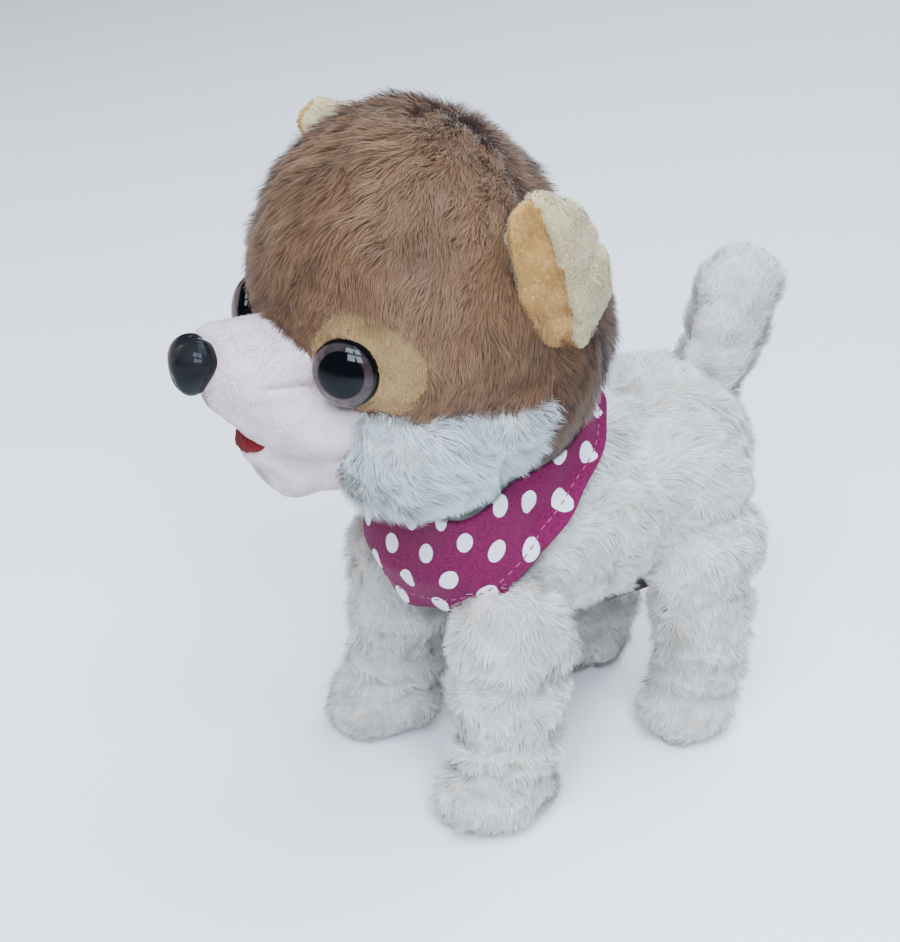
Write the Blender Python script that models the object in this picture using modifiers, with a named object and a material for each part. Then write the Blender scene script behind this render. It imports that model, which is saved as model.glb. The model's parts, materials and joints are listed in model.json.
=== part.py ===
"""Walking, barking plush puppy with its electronics and walking gear.

The puppy faces -Y, its left side is +X and up is +Z. Lengths are in millimetres
in this file, and MM turns them into metres. The drawing's own zero is under the
middle of the torso, and an empty that carries everything moves it back by
FORWARD, so that the world's origin is under the middle of the whole toy. The
legs stand a little way into a stride, left pair back and right pair forward, as
the walking gear leaves them when it stops.
"""

import math

import bmesh
import bpy
import numpy as np
from mathutils import Matrix, Vector

MM = 0.001
FORWARD = 17.1  # how far the middle of the toy is in front of the torso's
GAP = 0.3  # between pieces that touch
PLUSH = 4.0  # plush backing and its wadding

# Torso, as two overlapping ovals and the neck they carry
CHEST = ((0, 0, 87), (37, 56, 37))
RUMP = ((0, 41, 88), (36, 34, 37.5))
NECK = ((0, -34, 92), (33, 25, 26))

# Head: skull, back of the head and cheeks
SKULL = ((0, -49, 168), (52, 46, 53))
NAPE = ((0, -37, 152), (50, 49, 44))
CHEEK = ((24, -60, 132), (23, 28, 22))
MUZZLE_ROOT = ((0, -79, 141), (27, 19, 27))
MUZZLE_TIP = ((0, -107, 156), (13.5, 7.5, 13.5))
CHIN = ((0, -88, 128), (18, 15, 13))
EYE = (29.0, -86.5, 159.5)
EYE_RADIUS = 9.0
EYE_DOME = 5.0  # how far the eye stands out
PATCH_MIDDLE = (33, -82.5, 160.5)  # of the oval that marks out the velour round each eye
PATCH_RADII = (11, 17.8, 13.4)
MOUTH = (0, -100, 135)
NOSE = (0, -115, 160)
EAR = ((50.5, -37, 184), (5.5, 17, 26))
NOD_AXIS = (0, -36, 112)

# Legs
SHOULDER = (-34, 76)  # y and z of the front pivot
HIP = (42, 76)
LEG_X = 30
REAR_LEG_X = 26
INSIDE_LEG_X = 17.3  # nothing of a leg comes nearer to the middle than this
STRIDE = math.radians(2.3)  # how far into a stride the legs stand

# Walking gear: one spur train, module and centres (y, z) of its four shafts
MODULE = 0.8
PINION_TEETH = 8
WHEEL_TEETH = 24
CRANK_TEETH = 28
BACKLASH = 0.14
CRANK_SHAFT = (8.0, 90.0)
SECOND_ANGLE = 180.0  # direction of each next shaft from the last one, in the Y-Z plane
FIRST_ANGLE = 202.0
MOTOR_ANGLE = 148.0
CRANK_THROW = 3.0
LEVER_ARM = 18.0  # from a leg's pivot up to its link
FACE = 3.2  # face width of every gear

# Chassis
CHASSIS_X = 15.0
CHASSIS_Y = (-40.0, 55.0)
CHASSIS_Z = (71.3, 105.0)
WALL = 1.6
TRAY_X = 16.8
TRAY_Y = (-30.0, 31.0)
TRAY_Z = (53.4, 71.0)
TRAY_WALL = 1.2
ROOM = 0.6  # between a plush or moulded wall and what passes it
WIRE_RADIUS = 0.6
CELL_RADIUS = 7.0
CELL_LENGTH = 50.0
CELL_Z = 62.5
TAIL_PIVOT = (0, 60, 110)

COLOURS = {
    "cream_plush": ((0.83, 0.80, 0.78), 0.95, 0.0),
    "brown_plush": ((0.36, 0.21, 0.13), 0.95, 0.0),
    "white_plush": ((0.86, 0.86, 0.84), 0.95, 0.0),
    "tan_plush": ((0.62, 0.43, 0.20), 0.95, 0.0),
    "pink_velour": ((0.80, 0.66, 0.62), 0.90, 0.0),
    "pink_fleece": ((0.55, 0.05, 0.20), 0.90, 0.0),
    "red_felt": ((0.35, 0.01, 0.02), 0.90, 0.0),
    "wadding": ((0.90, 0.90, 0.90), 1.00, 0.0),
    "gloss_black": ((0.006, 0.006, 0.007), 0.12, 0.0),
    "grey_plastic": ((0.50, 0.50, 0.50), 0.45, 0.0),
    "brown_plastic": ((0.075, 0.040, 0.024), 0.40, 0.0),
    "white_nylon": ((0.82, 0.81, 0.76), 0.35, 0.0),
    "steel": ((0.62, 0.62, 0.63), 0.30, 1.0),
    "brass": ((0.70, 0.52, 0.22), 0.30, 1.0),
    "cell_sleeve": ((0.03, 0.05, 0.06), 0.35, 0.0),
    "circuit_green": ((0.02, 0.16, 0.05), 0.40, 0.0),
    "black_plastic": ((0.02, 0.02, 0.02), 0.45, 0.0),
    "red_wire": ((0.55, 0.02, 0.02), 0.45, 0.0),
    "black_wire": ((0.02, 0.02, 0.02), 0.45, 0.0),
}


# ---------------------------------------------------------------- helpers


def clear_scene():
    for obj in list(bpy.data.objects):
        bpy.data.objects.remove(obj)


def new_collection(name, hidden=False):
    collection = bpy.data.collections.new(name)
    bpy.context.scene.collection.children.link(collection)
    collection.hide_render = hidden
    return collection


def material(name):
    found = bpy.data.materials.get(name)
    if found:
        return found
    colour, roughness, metallic = COLOURS[name]
    made = bpy.data.materials.new(name)
    made.use_nodes = True
    shader = made.node_tree.nodes["Principled BSDF"]
    shader.inputs["Base Color"].default_value = (*colour, 1)
    shader.inputs["Roughness"].default_value = roughness
    shader.inputs["Metallic"].default_value = metallic
    made.diffuse_color = (*colour, 1)
    return made


def link(mesh, name, finish=None, origin=(0, 0, 0)):
    """An object of this mesh, given in mm about the origin: a part, or with no finish a cutter."""
    mesh.transform(Matrix.Scale(MM, 4) @ Matrix.Translation(-Vector(origin)))
    obj = bpy.data.objects.new(name, mesh)
    obj.location = Vector(origin) * MM
    if finish:
        PARTS.objects.link(obj)
        mesh.materials.append(material(finish))
        mesh.shade_smooth()
        mesh.set_sharp_from_angle(angle=math.radians(35))
    else:
        CUTTERS.objects.link(obj)
        obj.hide_render = True
        obj.display_type = "WIRE"
    return obj


def mesh_of(build, name):
    """A mesh that build(bm) fills, with its faces turned out."""
    bm = bmesh.new()
    build(bm)
    bmesh.ops.recalc_face_normals(bm, faces=bm.faces)
    mesh = bpy.data.meshes.new(name)
    bm.to_mesh(mesh)
    bm.free()
    return mesh


def box(name, low, high, finish=None, bevel=0.0, origin=(0, 0, 0), turn=None):
    middle = [(a + b) / 2 for a, b in zip(low, high)]
    sides = [b - a for a, b in zip(low, high)]

    def build(bm):
        bmesh.ops.create_cube(bm, size=1)
        bmesh.ops.scale(bm, vec=sides, verts=bm.verts)
        if bevel:
            bmesh.ops.bevel(bm, geom=bm.edges, offset=bevel, segments=2, profile=0.6, affect="EDGES")
        if turn is not None:
            bmesh.ops.rotate(bm, cent=(0, 0, 0), matrix=turn, verts=bm.verts)
        bmesh.ops.translate(bm, vec=middle, verts=bm.verts)

    return link(mesh_of(build, name), name, finish, origin)


def rod(name, start, end, radius, finish=None, sides=16, end_radius=None, origin=(0, 0, 0)):
    """A cylinder, or a cone with end_radius, between two points."""
    start, end = Vector(start), Vector(end)
    along = end - start
    turn = Vector((0, 0, 1)).rotation_difference(along).to_matrix().to_4x4()

    def build(bm):
        bmesh.ops.create_cone(
            bm,
            cap_ends=True,
            segments=sides,
            radius1=radius,
            radius2=radius if end_radius is None else end_radius,
            depth=along.length,
            matrix=Matrix.Translation((start + end) / 2) @ turn,
        )

    return link(mesh_of(build, name), name, finish, origin)


def oval(name, centre, radii, finish=None, turn=None, segments=20, rings=10, origin=(0, 0, 0)):
    def build(bm):
        bmesh.ops.create_uvsphere(bm, u_segments=segments, v_segments=rings, radius=1)
        bmesh.ops.scale(bm, vec=radii, verts=bm.verts)
        if turn is not None:
            bmesh.ops.rotate(bm, cent=(0, 0, 0), matrix=turn, verts=bm.verts)
        bmesh.ops.translate(bm, vec=centre, verts=bm.verts)

    return link(mesh_of(build, name), name, finish, origin)


def blend_ovals(start, end, steps=3):
    """Ovals from one (centre, radii) to another, as a tapering limb is stuffed."""
    made = []
    for step in range(steps):
        share = step / (steps - 1)
        centre = Vector(start[0]).lerp(Vector(end[0]), share)
        radii = Vector(start[1]).lerp(Vector(end[1]), share)
        made.append((tuple(centre), tuple(radii)))
    return made


def stuffed(name, ovals, finish=None, inset=0.0, voxel=2.5, keep=0.12, origin=(0, 0, 0)):
    """One smooth closed form over all the ovals, as stuffing fills a sewn bag."""

    def build(bm):
        for centre, radii in ovals:
            sized = [radius - inset for radius in radii]
            place = Matrix.Translation(centre) @ Matrix.Diagonal((*sized, 1))
            bmesh.ops.create_uvsphere(bm, u_segments=40, v_segments=24, radius=1, matrix=place)

    obj = link(mesh_of(build, name), name, finish, origin)
    remesh = obj.modifiers.new("one_form", "REMESH")
    remesh.mode = "VOXEL"
    remesh.voxel_size = voxel * MM
    remesh.use_smooth_shade = True
    smooth = obj.modifiers.new("smooth", "SMOOTH")
    smooth.factor = 0.5
    smooth.iterations = 6
    fewer = obj.modifiers.new("fewer_faces", "DECIMATE")
    fewer.ratio = keep
    return obj


def boolean(obj, other, operation="DIFFERENCE"):
    modifier = obj.modifiers.new(f"{operation.lower()}_{other.name}"[:60], "BOOLEAN")
    modifier.operation = operation
    modifier.solver = "EXACT"
    modifier.object = other
    return obj


def joined(name, pieces, finish, origin=(0, 0, 0)):
    """One solid of all the pieces, which overlap."""
    first, *others = pieces
    mesh = first.data
    mesh.name = name
    mesh.transform(Matrix.Translation(first.location - Vector(origin) * MM))
    obj = bpy.data.objects.new(name, mesh)
    obj.location = Vector(origin) * MM
    PARTS.objects.link(obj)
    mesh.materials.append(material(finish))
    mesh.shade_smooth()
    mesh.set_sharp_from_angle(angle=math.radians(35))
    bpy.data.objects.remove(first)
    for other in others:
        boolean(obj, other, "UNION")
    return obj


def on_side_points(side, points):
    return [(side * x, y, z) for x, y, z in points]


def wire(name, points, radius, finish, steps=3):
    """A round wire along a smooth curve through the points."""
    curve = bpy.data.curves.new(name, "CURVE")
    curve.dimensions = "3D"
    curve.bevel_depth = radius * MM
    curve.bevel_resolution = 2
    curve.use_fill_caps = True
    smooth = smooth_path(points, steps)
    spline = curve.splines.new("POLY")
    spline.points.add(len(smooth) - 1)
    for point, place in zip(spline.points, smooth):
        point.co = (*(np.array(place) * MM), 1)
    curve.materials.append(material(finish))
    obj = bpy.data.objects.new(name, curve)
    PARTS.objects.link(obj)
    return obj


def smooth_path(points, steps):
    """Points on a Catmull-Rom curve through the given ones."""
    before = 2 * np.array(points[0]) - points[1]
    after = 2 * np.array(points[-1]) - points[-2]
    ends = [before, *map(np.array, points), after]
    made = []
    for before, start, end, after in zip(ends, ends[1:], ends[2:], ends[3:]):
        for step in range(steps):
            t = step / steps
            made.append(
                0.5 * (2 * start + (end - before) * t
                       + (2 * before - 5 * start + 4 * end - after) * t**2
                       + (3 * start - before - 3 * end + after) * t**3)
            )
    return [*made, ends[-2]]


def stand_on_origin():
    """Moves everything back, so that the world's origin is under the middle of the toy."""
    carrier = bpy.data.objects.new("whole_toy", None)
    PARTS.objects.link(carrier)
    for obj in [*PARTS.objects, *CUTTERS.objects]:
        if obj.parent is None and obj is not carrier:
            obj.parent = carrier
    carrier.location.y = FORWARD * MM


def empty_at(name, place):
    empty = bpy.data.objects.new(name, None)
    empty.location = Vector(place) * MM
    PARTS.objects.link(empty)
    return empty


def hang_on(empty, *pieces):
    """Parents the pieces, where they stand, to an empty that isn't turned yet."""
    for piece in pieces:
        piece.parent = empty
        piece.matrix_parent_inverse = Matrix.Translation(-empty.location)


def on_side(side, ovals):
    """The same ovals on the left (1) or the right (-1) of the middle."""
    return [((side * centre[0], *centre[1:]), radii) for centre, radii in ovals]


def across(side, low, high):
    """The x range low to high on the left, or its mirror image on the right, lowest first."""
    return (low, high) if side > 0 else (-high, -low)


SIDES = {"left": 1, "right": -1}
TORSO = [CHEST, RUMP, NECK]
HEAD = [SKULL, NAPE, CHEEK, ((-CHEEK[0][0], *CHEEK[0][1:]), CHEEK[1])]


# ---------------------------------------------------------------- gears


def gear_mesh(name, teeth, low_x, high_x, phase=0.0):
    """Adds a spur gear's outline, with slim straight-flanked teeth, as a solid about the X axis."""
    pitch = MODULE * teeth / 2
    root, tip = pitch - 1.05 * MODULE, pitch + 0.85 * MODULE
    step = 2 * math.pi / teeth
    flank = ((root, 0.30), (tip, 0.11))  # radius and half tooth width, as a share of the tooth step

    def build(bm):
        outline = []
        for tooth in range(teeth):
            middle = phase + tooth * step
            for radius, share in (flank[0], flank[1]):
                outline.append((radius, middle - share * step))
            for radius, share in (flank[1], flank[0]):
                outline.append((radius, middle + share * step))
        points = [bm.verts.new((low_x, r * math.cos(a), r * math.sin(a))) for r, a in outline]
        face = bm.faces.new(points)
        extruded = bmesh.ops.extrude_face_region(bm, geom=[face])
        moved = [v for v in extruded["geom"] if isinstance(v, bmesh.types.BMVert)]
        bmesh.ops.translate(bm, vec=(high_x - low_x, 0, 0), verts=moved)

    return mesh_of(build, name)


def gear(name, teeth, low_x, high_x, shaft, phase=0.0):
    """A spur gear as a helper solid, with its origin on its shaft."""
    obj = link(gear_mesh(name, teeth, low_x, high_x, phase), name)
    obj.location = Vector((0, *shaft)) * MM
    return obj


def next_shaft(shaft, angle, teeth, next_teeth):
    """The centre of a shaft whose gear of next_teeth meshes with the gear of teeth on this one."""
    distance = MODULE * (teeth + next_teeth) / 2 + BACKLASH
    turn = math.radians(angle)
    return (shaft[0] + distance * math.cos(turn), shaft[1] + distance * math.sin(turn))


def meshed_phase(angle, teeth, phase, next_teeth):
    """The phase that puts the next gear's tooth space on the tooth of this one, along the line of centres."""
    turn = math.radians(angle)
    step, next_step = 2 * math.pi / teeth, 2 * math.pi / next_teeth
    ahead = ((turn - phase) / step) % 1  # how far past a tooth's middle the line of centres is
    return turn + math.pi + (ahead + 0.5) * next_step


SECOND_SHAFT = next_shaft(CRANK_SHAFT, SECOND_ANGLE, CRANK_TEETH, PINION_TEETH)
FIRST_SHAFT = next_shaft(SECOND_SHAFT, FIRST_ANGLE, WHEEL_TEETH, PINION_TEETH)
MOTOR_SHAFT = next_shaft(FIRST_SHAFT, MOTOR_ANGLE, WHEEL_TEETH, PINION_TEETH)
OUTPUT_X = (-12.4, -12.4 + FACE)
MIDDLE_X = (-2.2, -2.2 + FACE)
INPUT_X = (9.0, 9.0 + FACE)


def compound_gear(name, shaft, wheel_x, pinion_x, wheel_phase, pinion_phase):
    """A wheel and a pinion on one hub, turning on a fixed steel axle."""
    low, high = min(wheel_x[0], pinion_x[0]), max(wheel_x[1], pinion_x[1])
    obj = joined(
        name,
        [
            gear(f"{name}_wheel", WHEEL_TEETH, *wheel_x, shaft, wheel_phase),
            gear(f"{name}_pinion", PINION_TEETH, *pinion_x, shaft, pinion_phase),
            rod(f"{name}_hub", (low + 0.2, *shaft), (high - 0.2, *shaft), 2.2, origin=(0, *shaft)),
        ],
        "white_nylon",
        origin=(0, *shaft),
    )
    return boolean(obj, rod(f"{name}_bore", (low - 5, *shaft), (high + 5, *shaft), 1.2))


def gear_train():
    crank_phase = 0.0
    second_pinion = meshed_phase(SECOND_ANGLE, CRANK_TEETH, crank_phase, PINION_TEETH)
    second_wheel = 0.0
    first_pinion = meshed_phase(FIRST_ANGLE, WHEEL_TEETH, second_wheel, PINION_TEETH)
    first_wheel = 0.0
    motor_phase = meshed_phase(MOTOR_ANGLE, WHEEL_TEETH, first_wheel, PINION_TEETH)

    y, z = CRANK_SHAFT
    lean = LEVER_ARM * math.sin(STRIDE)
    rise = math.sqrt(CRANK_THROW**2 - lean**2)
    pieces = [
        gear("crank_wheel", CRANK_TEETH, *OUTPUT_X, CRANK_SHAFT, crank_phase),
        rod("crank_shaft", (-16, y, z), (16, y, z), 1.8, origin=(0, y, z)),
    ]
    for side in SIDES.values():
        pieces.append(rod(f"crank_disc{side}", (side * 15.4, y, z), (side * 17.2, y, z), 5.2))
        pin_y, pin_z = y - side * lean, z + side * rise
        near, far = (side * 16, pin_y, pin_z), (side * 19.2, pin_y, pin_z)
        pieces.append(rod(f"crank_pin{side}", near, far, 1.4, sides=16))
    joined("crank_axle", pieces, "white_nylon", origin=(0, y, z))

    compound_gear("second_gear", SECOND_SHAFT, MIDDLE_X, OUTPUT_X, second_wheel, second_pinion)
    compound_gear("first_gear", FIRST_SHAFT, INPUT_X, MIDDLE_X, first_wheel, first_pinion)

    joined(
        "motor_pinion",
        [
            gear("pinion_teeth", PINION_TEETH, *INPUT_X, MOTOR_SHAFT, motor_phase),
            rod("motor_shaft", (5, *MOTOR_SHAFT), (13, *MOTOR_SHAFT), 1.0, origin=(0, *MOTOR_SHAFT)),
        ],
        "brass",
        origin=(0, *MOTOR_SHAFT),
    )
    can = rod("motor", (-13, *MOTOR_SHAFT), (8.4, *MOTOR_SHAFT), 7.7, "steel", origin=(0, *MOTOR_SHAFT))
    boolean(can, rod("motor_shaft_room", (4, *MOTOR_SHAFT), (9, *MOTOR_SHAFT), 1.4))
    for name, shaft in (("first_axle", FIRST_SHAFT), ("second_axle", SECOND_SHAFT)):
        rod(name, (-14.2, *shaft), (14.2, *shaft), 0.9, "steel", sides=16, origin=(0, *shaft))


# ---------------------------------------------------------------- chassis


SCREWS = ((-36.0, 84.0), (49.0, 77.0))


def neck_ear(side):
    x = across(side, 6.0, 8.6)
    return box(f"neck_ear{side}", (x[0], -41 + 0.5, 100), (x[1], -31, 117), bevel=0.6)


def tail_bracket():
    """Stands on the left half and carries the pin that the tail wags on."""
    x, y, z = TAIL_PIVOT
    return (
        box("tail_bracket_foot", (GAP / 2 + 0.1, 49, 103), (5.6, 54.4, 107.5)),
        box("tail_bracket_wall", (-6, 53.2, 105.4), (6, 55.3, 113.5)),
        rod("tail_pin", (x, 54, z), (x, 64.2, z), 1.2, sides=16),
    )


def chassis_half(name, side):
    x = across(side, GAP / 2, CHASSIS_X)
    hollow = across(side, -1.0, CHASSIS_X - WALL)
    low, high = (x[0], CHASSIS_Y[0], CHASSIS_Z[0]), (x[1], CHASSIS_Y[1], CHASSIS_Z[1])
    pieces = [box(f"{name}_shell", low, high, bevel=0)]
    obj = joined(name, pieces, "grey_plastic")
    boolean(obj, box(
        f"{name}_hollow",
        (hollow[0], CHASSIS_Y[0] + WALL, CHASSIS_Z[0] + WALL),
        (hollow[1], CHASSIS_Y[1] - WALL, CHASSIS_Z[1] - WALL),
    ))
    boolean(obj, neck_ear(side), "UNION")
    if side > 0:
        for piece in tail_bracket():
            boolean(obj, piece, "UNION")
    for index, place in enumerate(SCREWS):
        ends = across(side, 2 * GAP, CHASSIS_X - 0.5)
        boolean(obj, rod(f"{name}_boss{index}", (ends[0], *place), (ends[1], *place), 2.6, sides=12), "UNION")
    through = [(f"axle{index}", place, 1.8) for index, place in enumerate((SHOULDER, HIP))]
    through.append(("crank", CRANK_SHAFT, 2.1))
    through.append(("neck", NOD_AXIS[1:], 1.5))
    through += [(f"screw{index}", place, 1.5) for index, place in enumerate(SCREWS)]
    through += [("first", FIRST_SHAFT, 1.2), ("second", SECOND_SHAFT, 1.2)]
    for label, place, radius in through:
        ends = (side * -1, side * 30)
        boolean(obj, rod(f"{name}_{label}_hole", (ends[0], *place), (ends[1], *place), radius, sides=12))
    boolean(obj, box(f"{name}_wire_slot", (-5, 33.5, 68), (5, 38.5, 74)))
    boolean(obj, box(f"{name}_speaker_wire_slot", (3, -42, 98), (7, -37, 102.8)))
    return obj


def chassis():
    for name, side in (("chassis_left", 1), ("chassis_right", -1)):
        chassis_half(name, side)
    for index, (y, z) in enumerate(SCREWS, 1):
        screw = joined(
            f"chassis_screw_{index}",
            [
                rod(f"screw_head_{index}", (-16.8, y, z), (-15.3, y, z), 2.4, sides=16),
                rod(f"screw_shank_{index}", (-16, y, z), (12, y, z), 1.15, sides=12),
            ],
            "steel",
        )
        boolean(screw, box(f"screw_slot_{index}", (-17.5, y - 0.3, z - 1.6), (-16.1, y + 0.3, z + 1.6)))
    for name, (y, z) in (("shoulder_axle", SHOULDER), ("hip_axle", HIP)):
        rod(name, (-26, y, z), (26, y, z), 1.5, "steel", sides=20, origin=(0, y, z))
    y, z = NOD_AXIS[1:]
    rod("neck_pin", (-9.4, y, z), (9.4, y, z), 1.2, "steel", sides=16, origin=NOD_AXIS)


def battery_case():
    low, high = (-TRAY_X, TRAY_Y[0], TRAY_Z[0]), (TRAY_X, TRAY_Y[1], TRAY_Z[1])
    tray = joined(
        "battery_tray",
        [
            box("tray_box", low, high),
            box("switch_bay", (-10, TRAY_Y[1] - 1, TRAY_Z[0]), (10, 44, 61.5)),
        ],
        "brown_plastic",
    )
    boolean(tray, box(
        "tray_hollow",
        (low[0] + TRAY_WALL, low[1] + TRAY_WALL, 50),
        (high[0] - TRAY_WALL, high[1] - TRAY_WALL, high[2] - TRAY_WALL),
    ))
    boolean(tray, box("bay_hollow", (-8.8, TRAY_Y[1] + ROOM, 54.6), (8.8, 42.8, 60.3)))
    boolean(tray, box("knob_slot", (-4.4, 35.2, 52), (4.4, 39.0, 56)))
    boolean(tray, box("bay_wire_hole", (-5, 33.5, 59), (5, 38.5, 63)))
    boolean(tray, rod("lid_screw_hole", (0, 33.2, 52), (0, 33.2, 56), 1.9, sides=16))

    lid = joined(
        "battery_lid",
        [
            box("lid_plate", (-15.2, -28.2, 53.7), (15.2, 29.3, 55.2), origin=(0, -28.3, 53.7)),
            box("lid_tongue", (-4, 27, 51.7), (4, 36 - ROOM, 53.1)),
            box("lid_riser", (-4, 26.6, 51.7), (4, 29.2, 54.6)),
        ],
        "brown_plastic",
        origin=(0, -28.3, 53.7),
    )
    for index in range(5):
        y = -18 + 3.2 * index
        boolean(lid, box(f"lid_grip{index}", (-7, y, 53), (7, y + 1.2, 54.3)))
    boolean(lid, rod("lid_screw_room", (0, 33.2, 51), (0, 33.2, 54), 1.35, sides=16))
    screw = joined(
        "lid_screw",
        [
            rod("lid_screw_head", (0, 33.2, 50.0), (0, 33.2, 51.4), 2.3, sides=16, origin=(0, 33.2, 50)),
            rod("lid_screw_shank", (0, 33.2, 51), (0, 33.2, 56.5), 1.0, sides=12),
        ],
        "steel",
        origin=(0, 33.2, 50),
    )
    for index, (wide, deep) in enumerate(((0.3, 1.5), (1.5, 0.3))):
        boolean(screw, box(f"lid_screw_cross{index}", (-wide, 33.2 - deep, 49), (wide, 33.2 + deep, 50.6)))

    middle_y = (TRAY_Y[0] + TRAY_Y[1]) / 2
    for name, side in (("battery_left", 1), ("battery_right", -1)):
        x = side * (CELL_RADIUS + GAP / 2)
        start, end = middle_y - side * CELL_LENGTH / 2, middle_y + side * CELL_LENGTH / 2
        joined(
            name,
            [
                rod(f"{name}_can", (x, start, CELL_Z), (x, end - side * 1.2, CELL_Z), CELL_RADIUS),
                rod(f"{name}_button", (x, end - side * 2, CELL_Z), (x, end, CELL_Z), 2.7, sides=16),
            ],
            "cell_sleeve",
        )
        spring_contact(f"{name}_spring", x, start - side * GAP, side)
    plate_y = TRAY_Y[0] + TRAY_WALL + GAP
    box("contact_bridge", (-13, plate_y, 57), (13, plate_y + 0.5, 68), "brass")


def spring_contact(name, x, start, side):
    """A conical coil between a cell's flat end and the contact plate behind it."""
    turns, length, wire_radius = 2, 1.9, 0.28
    points = []
    for step in range(turns * 8 + 1):
        share = step / (turns * 8)
        angle = 2 * math.pi * turns * share
        radius = 2.0 + 3.0 * share
        points.append((
            x + radius * math.cos(angle),
            start - side * (wire_radius + length * share),
            CELL_Z + radius * math.sin(angle),
        ))
    wire(name, points, wire_radius, "steel", steps=1)


def electronics():
    joined(
        "circuit_board",
        [
            box("board", (-12, 24, 86), (12, 51, 87.6)),
            oval("sound_chip", (-4, 38, 87.5), (4.5, 4.5, 1.6), segments=16, rings=8),
        ],
        "circuit_green",
    )
    rod("microphone", (7, 44, 87.9), (7, 44, 91.5), 3.2, "steel", sides=16)
    frame = joined(
        "speaker_frame",
        [
            rod("speaker_rim", (0, -48.4, 91), (0, -44.0, 91), 12.0, sides=24),
            rod("speaker_magnet", (0, -45, 91), (0, -40.5, 91), 7.0, sides=24),
        ],
        "steel",
    )
    boolean(frame, rod("speaker_bowl", (0, -52, 91), (0, -45.8, 91), 10.8, sides=24))
    rod("speaker_cone", (0, -48.2, 91), (0, -46.2, 91), 10.3, "black_plastic", sides=24, end_radius=5.0)
    box("switch_body", (-5.5, 34.4, 56.6), (5.5, 39.8, 60.0), "black_plastic")
    box(
        "switch_knob", (-3.9, 35.7, 51.6), (-0.9, 38.5, 56.2), "black_plastic",
        bevel=0.3, origin=(-2.4, 37.1, 54),
    )
    for name, side, finish in (("battery_wire_red", -1, "red_wire"), ("battery_wire_black", 1, "black_wire")):
        route = [(3, 36, 60.5), (3.4, 36, 68), (3, 35.4, 75), (5, 33, 80), (6, 30, 85.6)]
        wire(name, on_side_points(side, route), WIRE_RADIUS, finish)
    wire(
        "speaker_wire",
        [(5, 26, 88.3), (5, 24, 96), (5, 19, 101.6), (5, 5, 102), (5, -20, 102), (5, -36, 101),
         (5, -41.6, 100.4), (5, -42.2, 98.9)],
        WIRE_RADIUS,
        "red_wire",
    )


# ---------------------------------------------------------------- torso, tail and bandana


def leg_room(name, side, pivot, radius):
    """The space a leg swings in: round its pivot above, and open below."""
    x = across(side, 15.7, 70)
    y, z = pivot
    round_part = rod(f"{name}_round", (x[0], y, z), (x[1], y, z), radius, sides=40)
    open_part = box(f"{name}_below", (x[0], y - radius - 4.5, 30), (x[1], y + radius + 4.5, z))
    return round_part, open_part


HEAD_ROOM = ((0, -37, 150), (55, 54, 47.5))


def torso():
    skin = stuffed("body_plush", TORSO, "cream_plush", keep=0.026)
    boolean(skin, stuffed("torso_hollow", TORSO, inset=PLUSH + 0.5, keep=0.022))
    boolean(skin, oval("head_room", *HEAD_ROOM))
    boolean(skin, box(
        "chassis_room",
        (-CHASSIS_X - ROOM, CHASSIS_Y[0] - ROOM, CHASSIS_Z[0] - ROOM),
        (CHASSIS_X + ROOM, CHASSIS_Y[1] + ROOM, CHASSIS_Z[1] + ROOM),
    ))
    for label, side in SIDES.items():
        for pivot_label, pivot, radius in (("front", SHOULDER, 23.0), ("rear", HIP, 26.0)):
            for cutter in leg_room(f"room_{pivot_label}_{label}", side, pivot, radius):
                boolean(skin, cutter)
    boolean(skin, box("tray_room", (-17.4, TRAY_Y[0] - ROOM, 40), (17.4, TRAY_Y[1] + ROOM, 73)))
    boolean(skin, box("bay_room", (-10.7, TRAY_Y[1], 40), (10.7, 44.7, 62.2)))
    boolean(skin, oval("tail_room", TAIL_PIVOT, (16, 16, 16)))

    band = stuffed("bandana", TORSO, "pink_fleece", inset=-2.6, keep=0.035)
    boolean(band, stuffed("under_bandana", TORSO, inset=-1.1, keep=0.035))
    slope = math.atan2(42, 66)
    slab = box("bandana_slab", (-80, -90, -9), (80, 50, 9), turn=Matrix.Rotation(slope, 3, "X"))
    slab.location = Vector((0, -28, 99.5)) * MM
    band_cut = band.modifiers.new("keep_band", "BOOLEAN")
    band_cut.operation = "INTERSECT"
    band_cut.object = slab
    boolean(band, oval("head_room_band", HEAD_ROOM[0], [radius - 0.5 for radius in HEAD_ROOM[1]]))
    boolean(band, box("bandana_hollow", (-24, -50, 60), (24, 30, 140)))


def tail():
    pivot = empty_at("tail_axis", TAIL_PIVOT)
    ovals = blend_ovals(((0, 65, 121), (11, 13, 11)), ((0, 73, 143), (13.5, 14, 14)))
    plush = stuffed("tail_plush", ovals, "cream_plush", voxel=2.0, keep=0.08, origin=TAIL_PIVOT)
    boolean(plush, box("tail_foot", (-30, 30, 90), (30, 100, 114)))
    boolean(plush, rod("tail_core_room", (0, 60, 108), (0, 70.5, 140), 2.6, sides=16))
    lever = joined(
        "tail_lever",
        [
            rod("tail_rod", (0, 61, 111), (0, 70, 138.5), 2.0, sides=16, origin=TAIL_PIVOT),
            rod("tail_hub", (0, 56.4, 110), (0, 63, 110), 4.0, sides=16),
        ],
        "white_nylon",
        origin=TAIL_PIVOT,
    )
    boolean(lever, rod("tail_hub_bore", (0, 50, 110), (0, 70, 110), 1.5, sides=16))
    hang_on(pivot, plush, lever)


# ---------------------------------------------------------------- legs


POST_X = (21.5, 28.0)
FOOT_HALF_WIDTH = 8.0
FOOT_REACH = 9.5


def front_leg_ovals():
    return [
        ((LEG_X, -34, 68), (16, 20, 18)),
        *blend_ovals(((LEG_X, -34, 62), (16.5, 20.5, 18)), ((LEG_X, -36, 26), (16.5, 19.5, 16))),
        ((LEG_X, -42, 10.5), (17.5, 20.5, 13)),
    ]


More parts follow.
